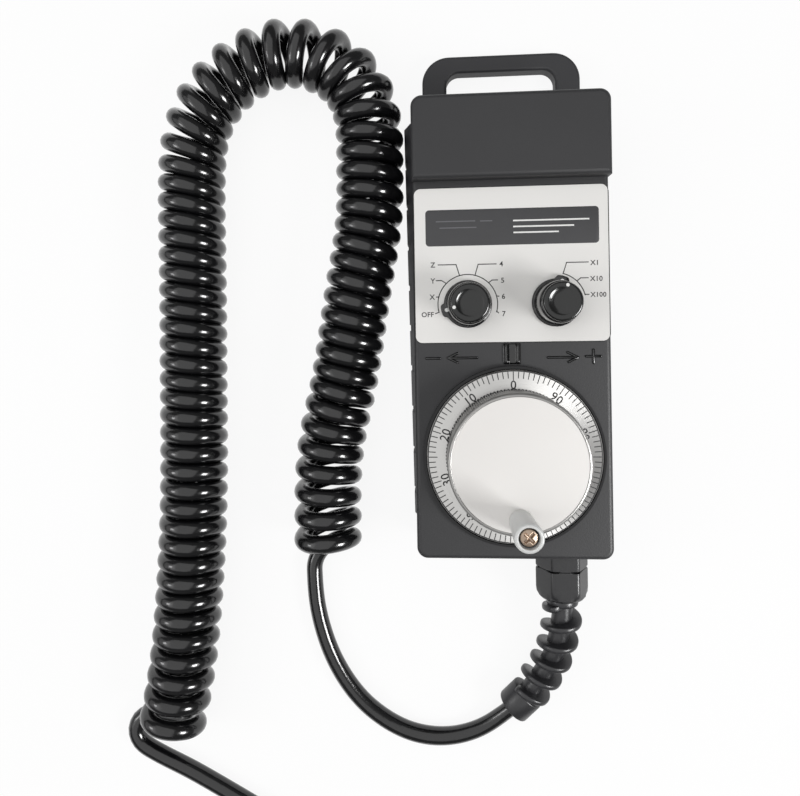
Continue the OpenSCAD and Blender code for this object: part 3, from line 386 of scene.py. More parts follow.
CORD_R = 4.5
CURL_R = 12.5
CURL_Z = 17.05
NEAR = [[25, -112, 17.5], [25, -128, 17.5], [25, -144, 17.5], [25, -155, 17],
        [23.6, -166, 16], [21.2, -176, 14.5], [17, -185.5, 12.7], [11.4, -194.5, 11.1],
        [5, -202.5, 9.7], [-3, -210.5, 7.3], [-13, -218.5, 5.1]]
FAR = [[-26, -223.6, 4.5], [-39, -224.6, 4.5], [-52, -222, 4.5], [-64, -216, 4.5],
       [-74.5, -207.6, 4.5], [-84, -195.7, 4.5], [-90.6, -183.4, 4.5], [-95, -171, 4.5],
       [-97.8, -158.5, 4.5], [-99, -146, 4.5], [-99.2, -140, 4.5]]
CURL = [[-90.5, -132], [-90, -116], [-89.5, -90], [-86.5, -66], [-81.8, -46], [-77, -20],
        [-72.4, 8], [-68.4, 30], [-66.6, 48], [-66.3, 67], [-66.6, 86], [-71, 103],
        [-82, 116], [-96, 123], [-110, 124.6], [-124, 120.8], [-138, 112],
        [-148.3, 100.2], [-155, 84.3], [-157.4, 62], [-157.6, 20], [-157.9, -40],
        [-159.1, -110], [-161.8, -150], [-165, -180], [-169, -203], [-173, -222]]
TAIL = [[-187, -216.5, 4.5], [-193, -219.5, 4.5], [-195.4, -225, 4.5], [-193.6, -231, 4.5],
        [-187, -236, 4.5], [-179, -240, 4.5], [-169, -244.6, 4.5], [-152.2, -253.3, 4.5],
        [-137, -261.6, 4.5], [-122, -269.7, 4.9], [-105, -278.9, 5.5], [-88.7, -287.7, 5.5]]
END = [[-109.9, -374.5, 14.5], [-124, -374.5, 13.2], [-138, -374.5, 11.2],
       [-152, -374.5, 9.5]]
COIL = (-109.9, -328.5, 46)
# Crossings on top of the curl: turn number and distance along the curl's axis
CROSSINGS = np.array([(0, 12.4), (1, 23.5), (2, 34.9), (3, 46.1), (4, 56.8), (5, 66.8),
                      (7, 86.4), (10, 113.3), (14, 149.9), (18, 186.9), (21, 215.2),
                      (24, 249.6), (27, 287.8), (30, 324.0), (33, 357.6), (36, 385.1),
                      (40, 420.6), (45, 465.0), (50, 509.2), (55, 555.4), (59, 592.5),
                      (63, 634.4), (64, 646.0)])
# How far the turns lean along the axis, by turn number
LEAN = np.array([(0, 3.5), (2, 1.7), (5, 1.5), (8, .75), (11, .1), (20, .3), (24, .6),
                 (26, 1.8), (27, .9), (29, .3), (30, -.2), (32, -1.7), (37, -1.2),
                 (42, -.45), (46, .1), (50, 1.0), (55, 1.9), (59, 2.6), (64, 2.6)])


def steady(knots, values, at):
    """Curve through rising values that never swings past them: each knot's slope is the
    harmonic mean of the slopes beside it, and a cubic joins each pair of knots."""
    x, y = np.asarray(knots, float), np.asarray(values, float)
    h, slope = np.diff(x), np.diff(y) / np.diff(x)
    m = np.r_[slope[0], 2 * slope[1:] * slope[:-1] / (slope[1:] + slope[:-1]), slope[-1]]
    k = np.clip(np.searchsorted(x, at) - 1, 0, len(x) - 2)
    t = (at - x[k]) / h[k]
    return (y[k] * (1 + 2 * t) * (1 - t) ** 2 + h[k] * m[k] * t * (1 - t) ** 2
            + y[k + 1] * t ** 2 * (3 - 2 * t) + h[k] * m[k + 1] * t ** 2 * (t - 1))


def spline(knots, values, at):
    """Natural cubic spline through the values at the knots: its second derivatives m solve
    h0 m0 + 2 (h0 + h1) m1 + h1 m2 = 6 (slope1 - slope0), with none at the ends."""
    x, y = np.asarray(knots, float), np.asarray(values, float)
    y = y.reshape(len(x), -1)
    h = np.diff(x)[:, None]
    slope = np.diff(y, axis=0) / h
    n = len(x)
    rows = np.eye(n)
    i = np.arange(1, n - 1)
    rows[i, i - 1], rows[i, i], rows[i, i + 1] = h[:-1, 0], 2 * (h[:-1, 0] + h[1:, 0]), h[1:, 0]
    right = np.zeros_like(y)
    right[1:-1] = 6 * np.diff(slope, axis=0)
    m = np.linalg.solve(rows, right)
    at = np.asarray(at, float)
    k = np.clip(np.searchsorted(x, at) - 1, 0, n - 2)
    a, b, w = (x[k + 1] - at)[:, None], (at - x[k])[:, None], h[k]
    return (m[k] * a ** 3 + m[k + 1] * b ** 3) / (6 * w) \
        + (y[k] / w - m[k] * w / 6) * a + (y[k + 1] / w - m[k + 1] * w / 6) * b


def run(points, spacing):
    """Smooth line through the points: a spline by chord length, cut at even distances."""
    p = np.asarray(points, float)
    chord = np.r_[0, np.cumsum(np.linalg.norm(np.diff(p, axis=0), axis=1))]
    fine = spline(chord, p, np.linspace(0, chord[-1], 40 * len(p)))
    far = np.r_[0, np.cumsum(np.linalg.norm(np.diff(fine, axis=0), axis=1))]
    even = np.linspace(0, far[-1], max(int(round(far[-1] / spacing)), 2) + 1)
    return np.stack([np.interp(even, far, fine[:, c]) for c in range(p.shape[1])], 1), even


def bridge(p, along_p, q, along_q, count, pull):
    """Cubic from p to q whose ends follow the two directions; it keeps above the floor."""
    t = np.linspace(0, 1, count + 2)[1:-1, None]
    a = along_p / np.linalg.norm(along_p) * pull
    b = along_q / np.linalg.norm(along_q) * pull
    line = (p * (2 * t ** 3 - 3 * t ** 2 + 1) + a * (t ** 3 - 2 * t ** 2 + t)
            + q * (3 * t ** 2 - 2 * t ** 3) + b * (t ** 3 - t ** 2))
    line[:, 2] = np.maximum(line[:, 2], CORD_R)
    return line


def curl_turns():
    """Left-handed helix about the curl's axis: at turn n, axis(s(n) + lean(n) cos 2 pi n)
    plus CURL_R times (cos 2 pi n across, sin 2 pi n up)."""
    axis, far = run(CURL, 0.5)
    knots = np.r_[-0.75, CROSSINGS[:, 0] + 0.25, 64.5, 64.75]
    values = np.r_[1.4, CROSSINGS[:, 1], 649.6, 653.0]
    n = np.arange(-0.2, 64.7, 1 / 44)
    angle = TAU * n
    s = steady(knots, values, n)
    s = s + np.interp(n, LEAN[:, 0], LEAN[:, 1]) * np.cos(angle)
    s = np.clip(s, 0.5, far[-1] - 0.5)
    place = np.stack([np.interp(s, far, axis[:, c]) for c in (0, 1)], 1)
    on = np.stack([np.interp(s + 0.5, far, axis[:, c]) for c in (0, 1)], 1)
    back = np.stack([np.interp(s - 0.5, far, axis[:, c]) for c in (0, 1)], 1)
    along = (on - back) / np.linalg.norm(on - back, axis=1, keepdims=True)
    out = np.stack([along[:, 1] * np.cos(angle), -along[:, 0] * np.cos(angle),
                    np.sin(angle)], 1)
    centre = np.c_[place, np.full(len(n), CURL_Z)]
    return centre + CURL_R * out, out


def coil_turns():
    """Flat coil, clockwise from above, that climbs on to its first turn near the end of it."""
    gone = np.linspace(0, 512.6, 150)
    angle = np.radians(62.6 - gone)
    climb = np.clip((gone - 285) / 65, 0, 1)
    z = 5.5 + 9.0 * climb ** 2 * (3 - 2 * climb)
    return np.stack([COIL[0] + COIL[2] * np.cos(angle), COIL[1] + COIL[2] * np.sin(angle), z], 1)


def cord_line():
    """The cord's middle line from the gland to the plug, and the side each ring starts on."""
    down = np.array([[0, 0, -1.0]])
    lead = run(NEAR + FAR, 2.5)[0]
    turns, out = curl_turns()
    tail = run(TAIL, 2.5)[0]
    coil = coil_turns()
    end = run(END, 3)[0]
    into = bridge(lead[-1], lead[-1] - lead[-2], turns[0], turns[1] - turns[0], 12, 24)
    off = bridge(turns[-1], turns[-1] - turns[-2], tail[0], tail[1] - tail[0], 6, 12)
    parts = [lead, into, turns, off, tail[:-1], coil[:-1], end]
    ways = [down.repeat(len(p), 0) for p in parts]
    ways[2] = out
    return np.vstack(parts), np.vstack(ways)


def tube(line, ways, radius, sides):
    """Round tube: ring points are line + radius (cos a side + sin a up), with side square
    to the line and to the way given, and up square to both. Each ring has its own radius."""
    along = np.gradient(line, axis=0)
    along /= np.linalg.norm(along, axis=1, keepdims=True)
    side = np.cross(along, ways)
    side /= np.linalg.norm(side, axis=1, keepdims=True)
    up = np.cross(side, along)
    a = np.linspace(0, TAU, sides, endpoint=False)[None, :, None]
    size = np.broadcast_to(radius, len(line))[:, None, None]
    points = line[:, None] + size * (np.cos(a) * side[:, None] + np.sin(a) * up[:, None])
    rings = len(line)
    faces = grid_faces(rings, sides)
    faces.append(list(range(sides - 1, -1, -1)))
    faces.append(list(range((rings - 1) * sides, rings * sides)))
    return points, faces


cord_middle, cord_ways = cord_line()
# The jacket thickens from the gland to the foot of the lead's bend
gone = np.r_[0, np.cumsum(np.linalg.norm(np.diff(cord_middle, axis=0), axis=1))]
cord_radius = np.interp(gone, [0, 105, 150, 200, 275, 300], [3.8, 3.8, 4.5, 4.5, 4.1, 4.5])
cord_points, cord_faces = tube(cord_middle, cord_ways, cord_radius, 16)
cord = make_piece("curly_cord", cord_points, cord_faces, "housing", sheath, "cord_jacket")
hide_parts("cord_lead", "cord_curl", "cord_tail", "cord_coil", "cord_end")


# Cable gland and its spiral bend protector

gland_low, gland_high = node_box("gland_body")
gland_x, gland_z = (gland_low[0] + gland_high[0]) / 2, (gland_low[2] + gland_high[2]) / 2
gland_flat = (gland_high[2] - gland_low[2]) / 2
gland_face = case_low[1]
nut_low, nut_high = node_box("gland_nut")


def hexagonal(name, profile, replaced):
    """Hexagonal turning along Y: at each angle a the radius is the least of the profile's
    own and flat / cos(a mod 60 - 30), with the corners eased to a round."""
    p = np.asarray(profile, float)
    a = np.linspace(0, TAU, 216, endpoint=False)[None, :]
    reach = gland_flat / np.cos(a % (TAU / 6) - TAU / 12)
    reach = np.minimum(reach, gland_flat * 1.135)
    r = np.minimum(p[:, :1], reach)
    points = np.stack([gland_x + r * np.cos(a), p[:, 1:] + 0 * a, gland_z + r * np.sin(a)], -1)
    made = make_piece(name, points, grid_faces(len(p), 216, wrap_rows=True), "housing", nylon,
                      "nylon_black", sharp=28)
    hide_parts(replaced)
    return made


seam = nut_high[1]
gland_hexagon = hexagonal("gland_hexagon", [
    (8.0, gland_face + 2), (13, gland_face + 2), (13, seam + 1.0), (12.3, seam + 0.5),
    (11.2, seam + 0.18), (8.0, seam + 0.18)], "gland_body")
gland_cap_nut = hexagonal("gland_cap_nut", [
    (6.0, seam - 0.15), (11.2, seam - 0.15), (12.3, seam - 0.5), (13, seam - 1.0),
    (13, nut_low[1] + 5.2), (12.2, nut_low[1] + 3.0), (11.2, nut_low[1] + 1.2),
    (10.2, nut_low[1] + 0.2), (9.6, nut_low[1]), (6.0, nut_low[1])], "gland_nut")

lead_fine, lead_far = run(NEAR + FAR, 0.25)


def on_lead(distance):
    """Places on the lead's middle line at distances from its start, and the directions
    along it, across it and up from it."""
    def at(d):
        return np.stack([np.interp(d, lead_far, lead_fine[:, c]) for c in range(3)], 1)
    distance = np.atleast_1d(distance)
    along = at(distance + 0.5) - at(distance - 0.5)
    along /= np.linalg.norm(along, axis=1, keepdims=True)
    side = np.cross(along, [0, 0, 1.0])
    side /= np.linalg.norm(side, axis=1, keepdims=True)
    return at(distance), along, side, np.cross(side, along)


def bend_spiral():
    """Fin wound round the lead: a rounded section (u out, v along) set at angle
    90 - 360 turns s, with its reach drawn in over the first and last part of a turn."""
    turns, first, last, inner, outer = 5.25, 38.4, 91.4, 4.3, 9.75
    steps = 300
    s = np.linspace(0, 1, steps + 1)
    place, along, side, up = on_lead(first + s * (last - first))
    a = math.pi / 2 - TAU * turns * s
    out = side * np.cos(a)[:, None] + up * np.sin(a)[:, None]
    t = np.linspace(-math.pi / 2, math.pi / 2, 9)
    tip_u = outer - 0.9 + 0.9 * np.cos(t)
    tip_v = 1.5 * np.sign(t) * np.abs(np.sin(t)) ** 0.7
    section_u = np.r_[inner, (inner + outer) / 2, tip_u, (inner + outer) / 2, inner]
    section_v = np.r_[-1.75, -1.6, tip_v, 1.6, 1.75]
    end = np.clip(np.minimum(s, 1 - s) * turns / 0.1, 0.12, 1)
    reach = inner + (section_u[None, :] - inner) * end[:, None]
    points = (place[:, None] + reach[..., None] * out[:, None]
              + section_v[None, :, None] * along[:, None])
    n = len(section_u)
    faces = grid_faces(steps + 1, n)
    faces += [list(range(n)), list(range(steps * n, (steps + 1) * n))]
    return points.reshape(-1, 3), faces


def core(first, last, radius):
    """Tube of the protector that the fin stands on."""
    place, along, side, up = on_lead(np.linspace(first, last, 90))
    a = np.linspace(0, TAU, 40, endpoint=False)[None, :, None]
    points = place[:, None] + radius * (np.cos(a) * side[:, None] + np.sin(a) * up[:, None])
    return points.reshape(-1, 3), grid_faces(90, 40)


def sleeve(first, last, outer, inner):
    """Ring on the lead between two distances, with softened edges."""
    edge = 0.7 / (last - first)
    ring = np.array([(inner, 0), (outer - 0.7, 0), (outer - 0.2, 0.25 * edge), (outer, edge),
                     (outer, 0.5), (outer, 1 - edge), (outer - 0.2, 1 - 0.25 * edge),
                     (outer - 0.7, 1), (inner, 1)])
    place, along, side, up = on_lead(np.array([first, last]))
    where = place[0] + ring[:, 1:] * (place[1] - place[0])
    a = np.linspace(0, TAU, 72, endpoint=False)[None, :, None]
    way = (place[1] - place[0]) / np.linalg.norm(place[1] - place[0])
    across = np.cross(way, [0, 0, 1.0])
    across /= np.linalg.norm(across)
    high = np.cross(across, way)
    points = where[:, None] + ring[:, 0][:, None, None] * (
        np.cos(a) * across + np.sin(a) * high)
    return points.reshape(-1, 3), grid_faces(len(ring), 72, wrap_rows=True)


protector = make_piece("spiral_protector", *joined([
    bend_spiral(), core(38.2, 91.0, 4.95), sleeve(35.6, 38.9, 7.6, 4.6),
    sleeve(90.4, 101.6, 8.5, 4.9)]),
    "housing", soft_nylon, "nylon_black", sharp=50)
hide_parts("bend_protector")


# Front plate: printed bar, lines, scales and letters

INK = 0.03
plate_z = plate_high[2]


def corner_ring(low, high, radius):
    """Outline of a rectangle with rounded corners, as four arcs."""
    a = np.linspace(0, TAU, 49)[:-1].reshape(4, 12)
    a = np.c_[a, a[:, :1] + TAU / 4]
    cx = np.where([1, 0, 0, 1], high[0] - radius, low[0] + radius)[:, None]
    cy = np.where([1, 1, 0, 0], high[1] - radius, low[1] + radius)[:, None]
    return np.stack([cx + radius * np.cos(a), cy + radius * np.sin(a)], -1).reshape(-1, 2)


def rounded_bar(name, low, high, radius, z0, z1, body, coat, slot):
    """Flat bar with rounded corners: a ring of corner arcs joined to its middle line."""
    ring = corner_ring(low, high, radius)
    n = len(ring)
    edge = [(0.0, z0), (0.0, z1 - 0.01), (0.03, z1)]
    middle = (np.asarray(low) + high) / 2
    out = (ring - middle) / np.linalg.norm(ring - middle, axis=1, keepdims=True)
    points = np.concatenate([np.c_[ring - out * back, np.full(n, z)] for back, z in edge])
    faces = grid_faces(len(edge), n)
    faces.append(list(range(2 * n, 3 * n)))
    faces.append(list(range(n - 1, -1, -1)))
    return make_piece(name, points, faces, body, coat, slot)


# Painted shadow at the plate's edge: a dark open frame 0.5 mm wider than the plate, which stands
# in for the shade there
outer = corner_ring((plate_low[0] - 0.5, plate_low[1] - 0.6),
                    (plate_high[0] + 0.6, plate_high[1] + 0.5), 4.0)
inner = outer.mean(axis=0) + (outer - outer.mean(axis=0)) * 0.94
make_piece("plate_edge_shadow", np.concatenate([
    np.c_[ring, np.full(len(ring), z)]
    for ring, z in ((outer, deck - 0.1), (outer, deck + 0.12), (inner, deck + 0.12),
                    (inner, deck - 0.1))]),
    grid_faces(4, len(outer), wrap_rows=True), "housing", rubber, "plate_grey")
rounded_bar("title_bar", (-38.95, 22.7), (40.0, 39.5), 1.7, plate_z, plate_z + INK, "housing",
            dark_ink, "plate_grey")
bar_top = plate_z + INK
bar_lines = [((1.6, 33.78), (35.4, 33.78)), ((1.6, 31.03), (28.56, 31.03)),
             ((1.7, 28.3), (21.6, 28.3))]
faint_lines = [((-33.9, 34.1), (-16.2, 34.1)), ((-13.5, 33.97), (-8.4, 33.97)),
               ((-32.2, 31.1), (-15.7, 31.1))]
make_piece("bar_lines", *slabs(strokes(bar_lines, 0.7), bar_top, bar_top + INK), "housing",
           white_ink, "plate_grey")
make_piece("bar_faint_lines", *slabs(strokes(faint_lines, 0.55), bar_top, bar_top + INK / 2),
           "housing", grey_ink, "plate_grey")


def arc_points(centre, radius, first, last, count):
    """Points on an arc between two angles in degrees."""
    a = np.radians(np.linspace(first, last, count))
    return np.stack([centre[0] + radius * np.cos(a), centre[1] + radius * np.sin(a)], 1)


def ring_point(centre, radius, angle):
    """The point of a circle at an angle in degrees."""
    return arc_points(centre, radius, angle, angle, 1)[0].tolist()


SCALE_R = 13.7
left, right = axis_switch[:2], multiplier_switch[:2]
scale_lines = [chain(arc_points(left, SCALE_R, -16, 195, 60)),
               chain(arc_points(right, SCALE_R, 14, 75, 20))]
for centre, angle, points in (
        (left, 105, [(-25.1, 14.06), (-33.3, 14.06)]), (left, 75, [(-14.95, 14.0), (-6.7, 14.0)]),
        (left, 135, [(-31.9, 6.8), (-34.3, 6.8)]), (left, 45, [(-8.7, 6.6), (-6.2, 6.6)]),
        (left, 165, [(-34.3, -0.8)]), (left, 15, [(-5.7, -0.9)]),
        (left, 195, [(-34.9, -8.5)]), (left, -15, [(-5.9, -8.6)]),
        (right, 75, [(25.2, 14.0), (34.9, 14.0)]), (right, 45, [(31.4, 6.8), (34.8, 6.8)]),
        (right, 15, [(35.0, -0.8)])):
    scale_lines.append(chain([ring_point(centre, SCALE_R, angle)] + points))
make_piece("switch_scales", *slabs(strokes(np.concatenate(scale_lines), 0.44), plate_z,
                                   plate_z + INK), "housing", line_ink, "plate_grey")
lettering("switch_letters", [
    ("Z", -35.8, 14.1, 3.3, 0), ("Y", -35.9, 6.7, 3.3, 0), ("X", -36.3, -0.8, 3.3, 0),
    ("OFF", -38.5, -8.9, 3.2, 0), ("4", -4.4, 14.0, 3.3, 0), ("5", -3.9, 6.4, 3.3, 0),
    ("6", -3.6, -1.0, 3.3, 0), ("7", -3.5, -9.0, 3.3, 0), ("X1", 37.5, 13.7, 3.2, 0),
    ("X10", 38.4, 6.4, 3.2, 0), ("X100", 39.2, -0.9, 3.1, 0)],
    plate_z, plate_z + INK, "housing", line_ink)


# Raised gloss marks on the deck

def raised_bar(a, b, width, height, z):
    """Round-topped bar from a to b: half-ellipse across, drawn in to a point at each end."""
    a, b = np.asarray(a, float), np.asarray(b, float)
    length = np.linalg.norm(b - a)
    along = (b - a) / length
    side = np.array([-along[1], along[0]])
    u = np.array([-1, -0.92, -0.7, -0.4, 0, 0.4, 0.7, 0.92, 1])
    place = np.r_[u[:5] * width / 2, length + u[4:] * width / 2]
    full = np.r_[np.sqrt(1 - u[:5] ** 2), np.sqrt(1 - u[4:] ** 2)][:, None]
    v = np.linspace(0, math.pi, 9)[None, :]
    across = np.cos(v) * width / 2 * full
    up = z - 0.05 + np.sin(v) * height * full
    flat = a + place[:, None, None] * along + across[..., None] * side
    points = np.concatenate([flat, up[..., None]], -1)
    return points.reshape(-1, 3), grid_faces(len(place), 9)


def raised_marks(name, bars, width, height):
    """Every mark's bars in one piece."""
    parts = [raised_bar(a, b, width, height, deck) for a, b in bars]
    return make_piece(name, *joined(parts), "housing", gloss_abs, "gloss_black")


raised_marks("direction_marks", [
    ((-39.4, -29.25), (-33.2, -29.25)), ((-29.4, -29.2), (-16.0, -29.2)),
    ((-29.4, -29.2), (-25.0, -27.0)), ((-29.4, -29.2), (-25.0, -31.3)),
    ((16.3, -29.45), (29.8, -29.45)), ((29.8, -29.45), (25.2, -27.2)),
    ((29.8, -29.45), (25.6, -31.6)), ((33.5, -29.1), (40.1, -29.1)),
    ((36.85, -26.2), (36.85, -32.2))], 1.25, 0.8)


def index_ridges():
    """Mark over the dial: a bar along Y whose section has two round ridges with a dark
    channel between them, z = floor + ridge exp(-((|x| - 2.65) / 0.85)^4)."""
    low, high = node_box("index_marker")
    half = (high[0] - low[0]) / 2
    x = np.linspace(-half, half, 41)
    ridge = np.exp(-((np.abs(x) - 2.65) / 0.85) ** 4)
    tall = high[2] - deck
    top = deck + tall * (0.25 + 0.75 * ridge)
    section_x = np.r_[-half, x, half]
    section_z = np.r_[deck - 0.2, top, deck - 0.2]
    along = np.array([0, 0.25, 0.8, 1.6])
    y = np.r_[low[1] + along, np.linspace(low[1] + 2, high[1] - 2, 5), high[1] - along[::-1]]
    end = np.clip(np.minimum(y - low[1], high[1] - y) / 0.8, 0, 1) ** 0.5
    z = deck - 0.2 + (section_z - deck + 0.2)[None, :] * (0.35 + 0.65 * end[:, None])
    points = np.stack([(low[0] + high[0]) / 2 + section_x[None, :] + 0 * z,
                       y[:, None] + 0 * z, z], -1)
    n, m = len(y), len(section_x)
    faces = grid_faces(n, m)
    faces += [list(range(m)), list(range((n - 1) * m, n * m))]
    made = make_piece("index_ridges", points.reshape(-1, 3), faces, "housing", gloss_abs,
                      "gloss_black", sharp=50)
    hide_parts("index_marker")


index_ridges()


def grip_groove_shade():
    """Dark strip set in the grooves of each side grip, 0.5 mm below the rail's face, that paints
    the shade in the grooves: a prism along the rail, turned 0.8 degrees inwards about the rail's
    upper end."""
    case_half, long, out = 45.0, 190.0, 3.3
    start = case_high[1] - 8
    section = np.array([(1.0, 5.2), (out - 1.3, 5.2), (out, 8.2), (out, 18.2), (0.7, 28.6),
                        (-0.5, 28.6)])
    y = np.array([-2.0, -long + 2.0])
    x = section[:, 0][None, :] + 0 * y[:, None]
    turn = math.radians(-0.8)
    right = np.stack([case_half + x * math.cos(turn) - y[:, None] * math.sin(turn),
                      start + x * math.sin(turn) + y[:, None] * math.cos(turn),
                      section[:, 1][None, :] + 0 * x], -1).reshape(-1, 3)
    faces = grid_faces(2, 6) + [list(range(6)), list(range(6, 12))]
    left = right * [-1, 1, 1]
    make_piece("grip_groove_shade", *joined([(right, faces), (left, faces)]), "housing", rubber,
               "rubber_black", sharp=20)


grip_groove_shade()


# Knobs

def knob(name, centre, pointer, body, replaced, cap_node, cap_name):
    """Foot flange with a pointer nose, a waisted body and a dished cap, all turned."""
    low, high = node_box(replaced)
    z = low[2]

    def nose(angle, radius, height):
        turn = (angle - math.radians(pointer) + math.pi) % TAU - math.pi
        bump = 1 / (1 + np.exp((np.abs(turn) - 0.26) * 42))
        on_foot = (radius > 10.5) & (height < z + 2.3)
        return 1.6 * bump * on_foot

    foot = [(7.4, z), (10.4, z), (11.0, z + 0.35), (11.0, z + 1.5), (10.6, z + 2.0),
            (10.0, z + 2.1), (9.75, z + 2.6), (9.55, z + 12.8), (9.3, z + 14.2),
            (8.6, z + 14.9), (7.0, z + 14.9), (7.0, z + 13), (3.2, z + 13),
            (3.2, z + 2.6), (7.4, z + 2.6), (7.4, z)]
    base = lathe(name, soften(foot, 0.3), centre, 160, body, gloss_abs, "gloss_black", nose,
                 sharp=60)
    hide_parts(replaced)
    low, high = node_box(cap_node)
    t = high[2]
    r = (high[0] - low[0]) / 2
    dish = [(0, t - 4.4), (6.8, t - 4.4), (6.8, t - 4.0), (r - 0.25, t - 3.9), (r, t - 3.3),
            (r, t - 1.1), (r - 0.35, t - 0.35), (r - 1.0, t), (r - 2.4, t - 0.02),
            (r - 3.3, t - 0.45), (r - 4.6, t - 0.75), (0, t - 0.85)]
    top = lathe(cap_name, soften(dish, 0.45), centre, 128, body, cap_abs, "gloss_black",
                sharp=60)
    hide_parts(cap_node)


knob("axis_knob_body", axis_switch, 195, "axis_selector", "axis_knob", "axis_knob_cap",
     "axis_cap")
knob("multiplier_knob_body", multiplier_switch, 75, "multiplier_selector", "multiplier_knob",
     "multiplier_knob_cap", "multiplier_cap")


# Graduated dial and hand disc

def graduated_dial():
    """Flat turned ring with a bevel; its map runs round the ring and out from the middle."""
    r = (dial_high[0] - dial_low[0]) / 2
    z0, z1 = dial_low[2], dial_high[2]
    profile = soften([(4.1, z1), (r - 0.6, z1), (r - 0.12, z1 - 0.5), (r, z1 - 0.9),
                      (r, z0 + 0.2), (r - 0.3, z0), (4.1, z0), (4.1, z1)], 0.12, 4)
    steps = 240
    a = np.linspace(0, TAU, steps + 1)[None, :]
    rr, z = profile[:, :1], profile[:, 1:]
    points = np.stack([wheel[0] + rr * np.cos(a), wheel[1] + rr * np.sin(a), z + 0 * a], -1)
    uv = np.stack([a / TAU + 0 * rr, rr / 100 + 0 * a], -1)
    return make_piece("graduated_dial", points, grid_faces(len(points), steps + 1, False, False),
                      "handwheel", dial_metal, "dial_aluminium", uv=uv)


dial = graduated_dial()
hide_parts("dial")

ticks = np.arange(100)
tick_angle = np.radians(90 + 3.6 * ticks)
tick_in = np.where(ticks % 5 == 0, 35.2, 36.1)
ray = np.stack([np.cos(tick_angle), np.sin(tick_angle)], 1)
tick_lines = np.stack([wheel[:2] + ray * tick_in[:, None], wheel[:2] + ray * 38.75], 1)
dial_z = dial_high[2]
make_piece("dial_ticks", *slabs(strokes(tick_lines, 0.42), dial_z, dial_z + 0.02), "handwheel",
           line_ink, "dial_aluminium")
# Painted shade of a groove round the dial's edge: a thin dark ring from r 39.0 to 39.5 mm
lathe("dial_groove_shade", [(39.0, dial_z), (39.0, dial_z + 0.02), (39.5, dial_z + 0.02),
                         (39.5, dial_z), (39.0, dial_z)], wheel, 240, "handwheel", line_ink,
      "dial_aluminium")
numerals = []
for k in range(10):
    a = math.radians(90 + 36 * k)
    numerals.append((str(10 * k), wheel[0] + 32.95 * math.cos(a), wheel[1] + 32.95 * math.sin(a),
                     5.6, a - math.pi / 2))
lettering("dial_numerals", numerals, dial_z, dial_z + 0.02, "handwheel", line_ink)


def knurled(angle, radius, height):
    """Straight knurl on the disc's side: 180 teeth 0.6 mm deep, fading out at the rim."""
    z0, z1 = disc_low[2], disc_high[2]
    fade = np.clip((z1 - 1.9 - height) / 0.6, 0, 1) * np.clip((height - z0 - 0.3) / 0.5, 0, 1)
    on_side = radius > (disc_high[0] - disc_low[0]) / 2 - 0.6
    return -0.6 * fade * on_side * (0.5 + 0.5 * np.cos(180 * angle))


def hand_disc():
    """Cup with a knurled side, a rounded bright rim and a seat for its face plate."""
    r = (disc_high[0] - disc_low[0]) / 2
    f = (face_high[0] - face_low[0]) / 2
    z0, z1 = disc_low[2], disc_high[2]
    side = [(r - 3.5, z0), (r - 0.6, z0), (r - 0.1, z0 + 0.3), (r - 0.1, z0 + 0.9),
            (r, z0 + 1.1), (r, z0 + 8), (r, z1 - 2.6), (r, z1 - 1.8)]
    a = np.linspace(0, math.pi / 2, 8)
    rim = np.stack([r - 1.3 + 1.3 * np.cos(a), z1 - 1.3 + 1.3 * np.sin(a)], 1)
    seat = [(f + 0.3, z1), (f + 0.1, z1 - 0.15), (f + 0.05, z1 - 0.6), (4.0, z1 - 0.6),
            (4.0, z1 - 4.0), (r - 3.5, z1 - 4.0), (r - 3.5, z0)]
    return lathe("knurled_disc", np.vstack([side, rim, seat]), wheel, 1440, "handwheel",
                 rim_metal, "disc_aluminium", knurled)


def knurl_shade_band():
    """Dark toothed band under the disc, 120 teeth 0.7 mm deep; its dark colour paints the shade
    in the knurl at the disc's foot, where it meets the dial.
    """
    r, z = (disc_high[0] - disc_low[0]) / 2, disc_low[2]

    def teeth(angle, radius, height):
        return -0.7 * (radius > r) * (0.5 + 0.5 * np.cos(120 * angle))

    lathe("knurl_shade_band", [(r - 2, z), (r + 0.3, z), (r + 0.3, z + 1.5), (r - 2, z + 1.5),
                           (r - 2, z)], wheel, 960, "handwheel", dark_screw,
          "disc_aluminium", teeth)


knurl_shade_band()
disc = hand_disc()
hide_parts("hand_disc")


def crank_grip():
    """Barrel handle: narrow foot, swelling body, flat lit ring round a deep screw recess."""
    low, high = node_box("crank_handle")
    z0, z1 = low[2], high[2]
    profile = [(2.2, z0), (4.4, z0), (5.15, z0 + 0.7), (5.2, z0 + 4), (5.55, z0 + 12),
               (5.95, z0 + 20), (6.1, z1 - 1.6), (5.95, z1 - 0.6), (5.4, z1), (4.5, z1),
               (4.3, z1 - 0.3), (4.3, z1 - 3.2), (2.2, z1 - 3.2), (2.2, z0)]
    return lathe("crank_barrel", soften(profile, 0.5), crank, 96, "crank_grip", crank_paint,
                 "crank_grey", sharp=50)


grip = crank_grip()
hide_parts("crank_handle")


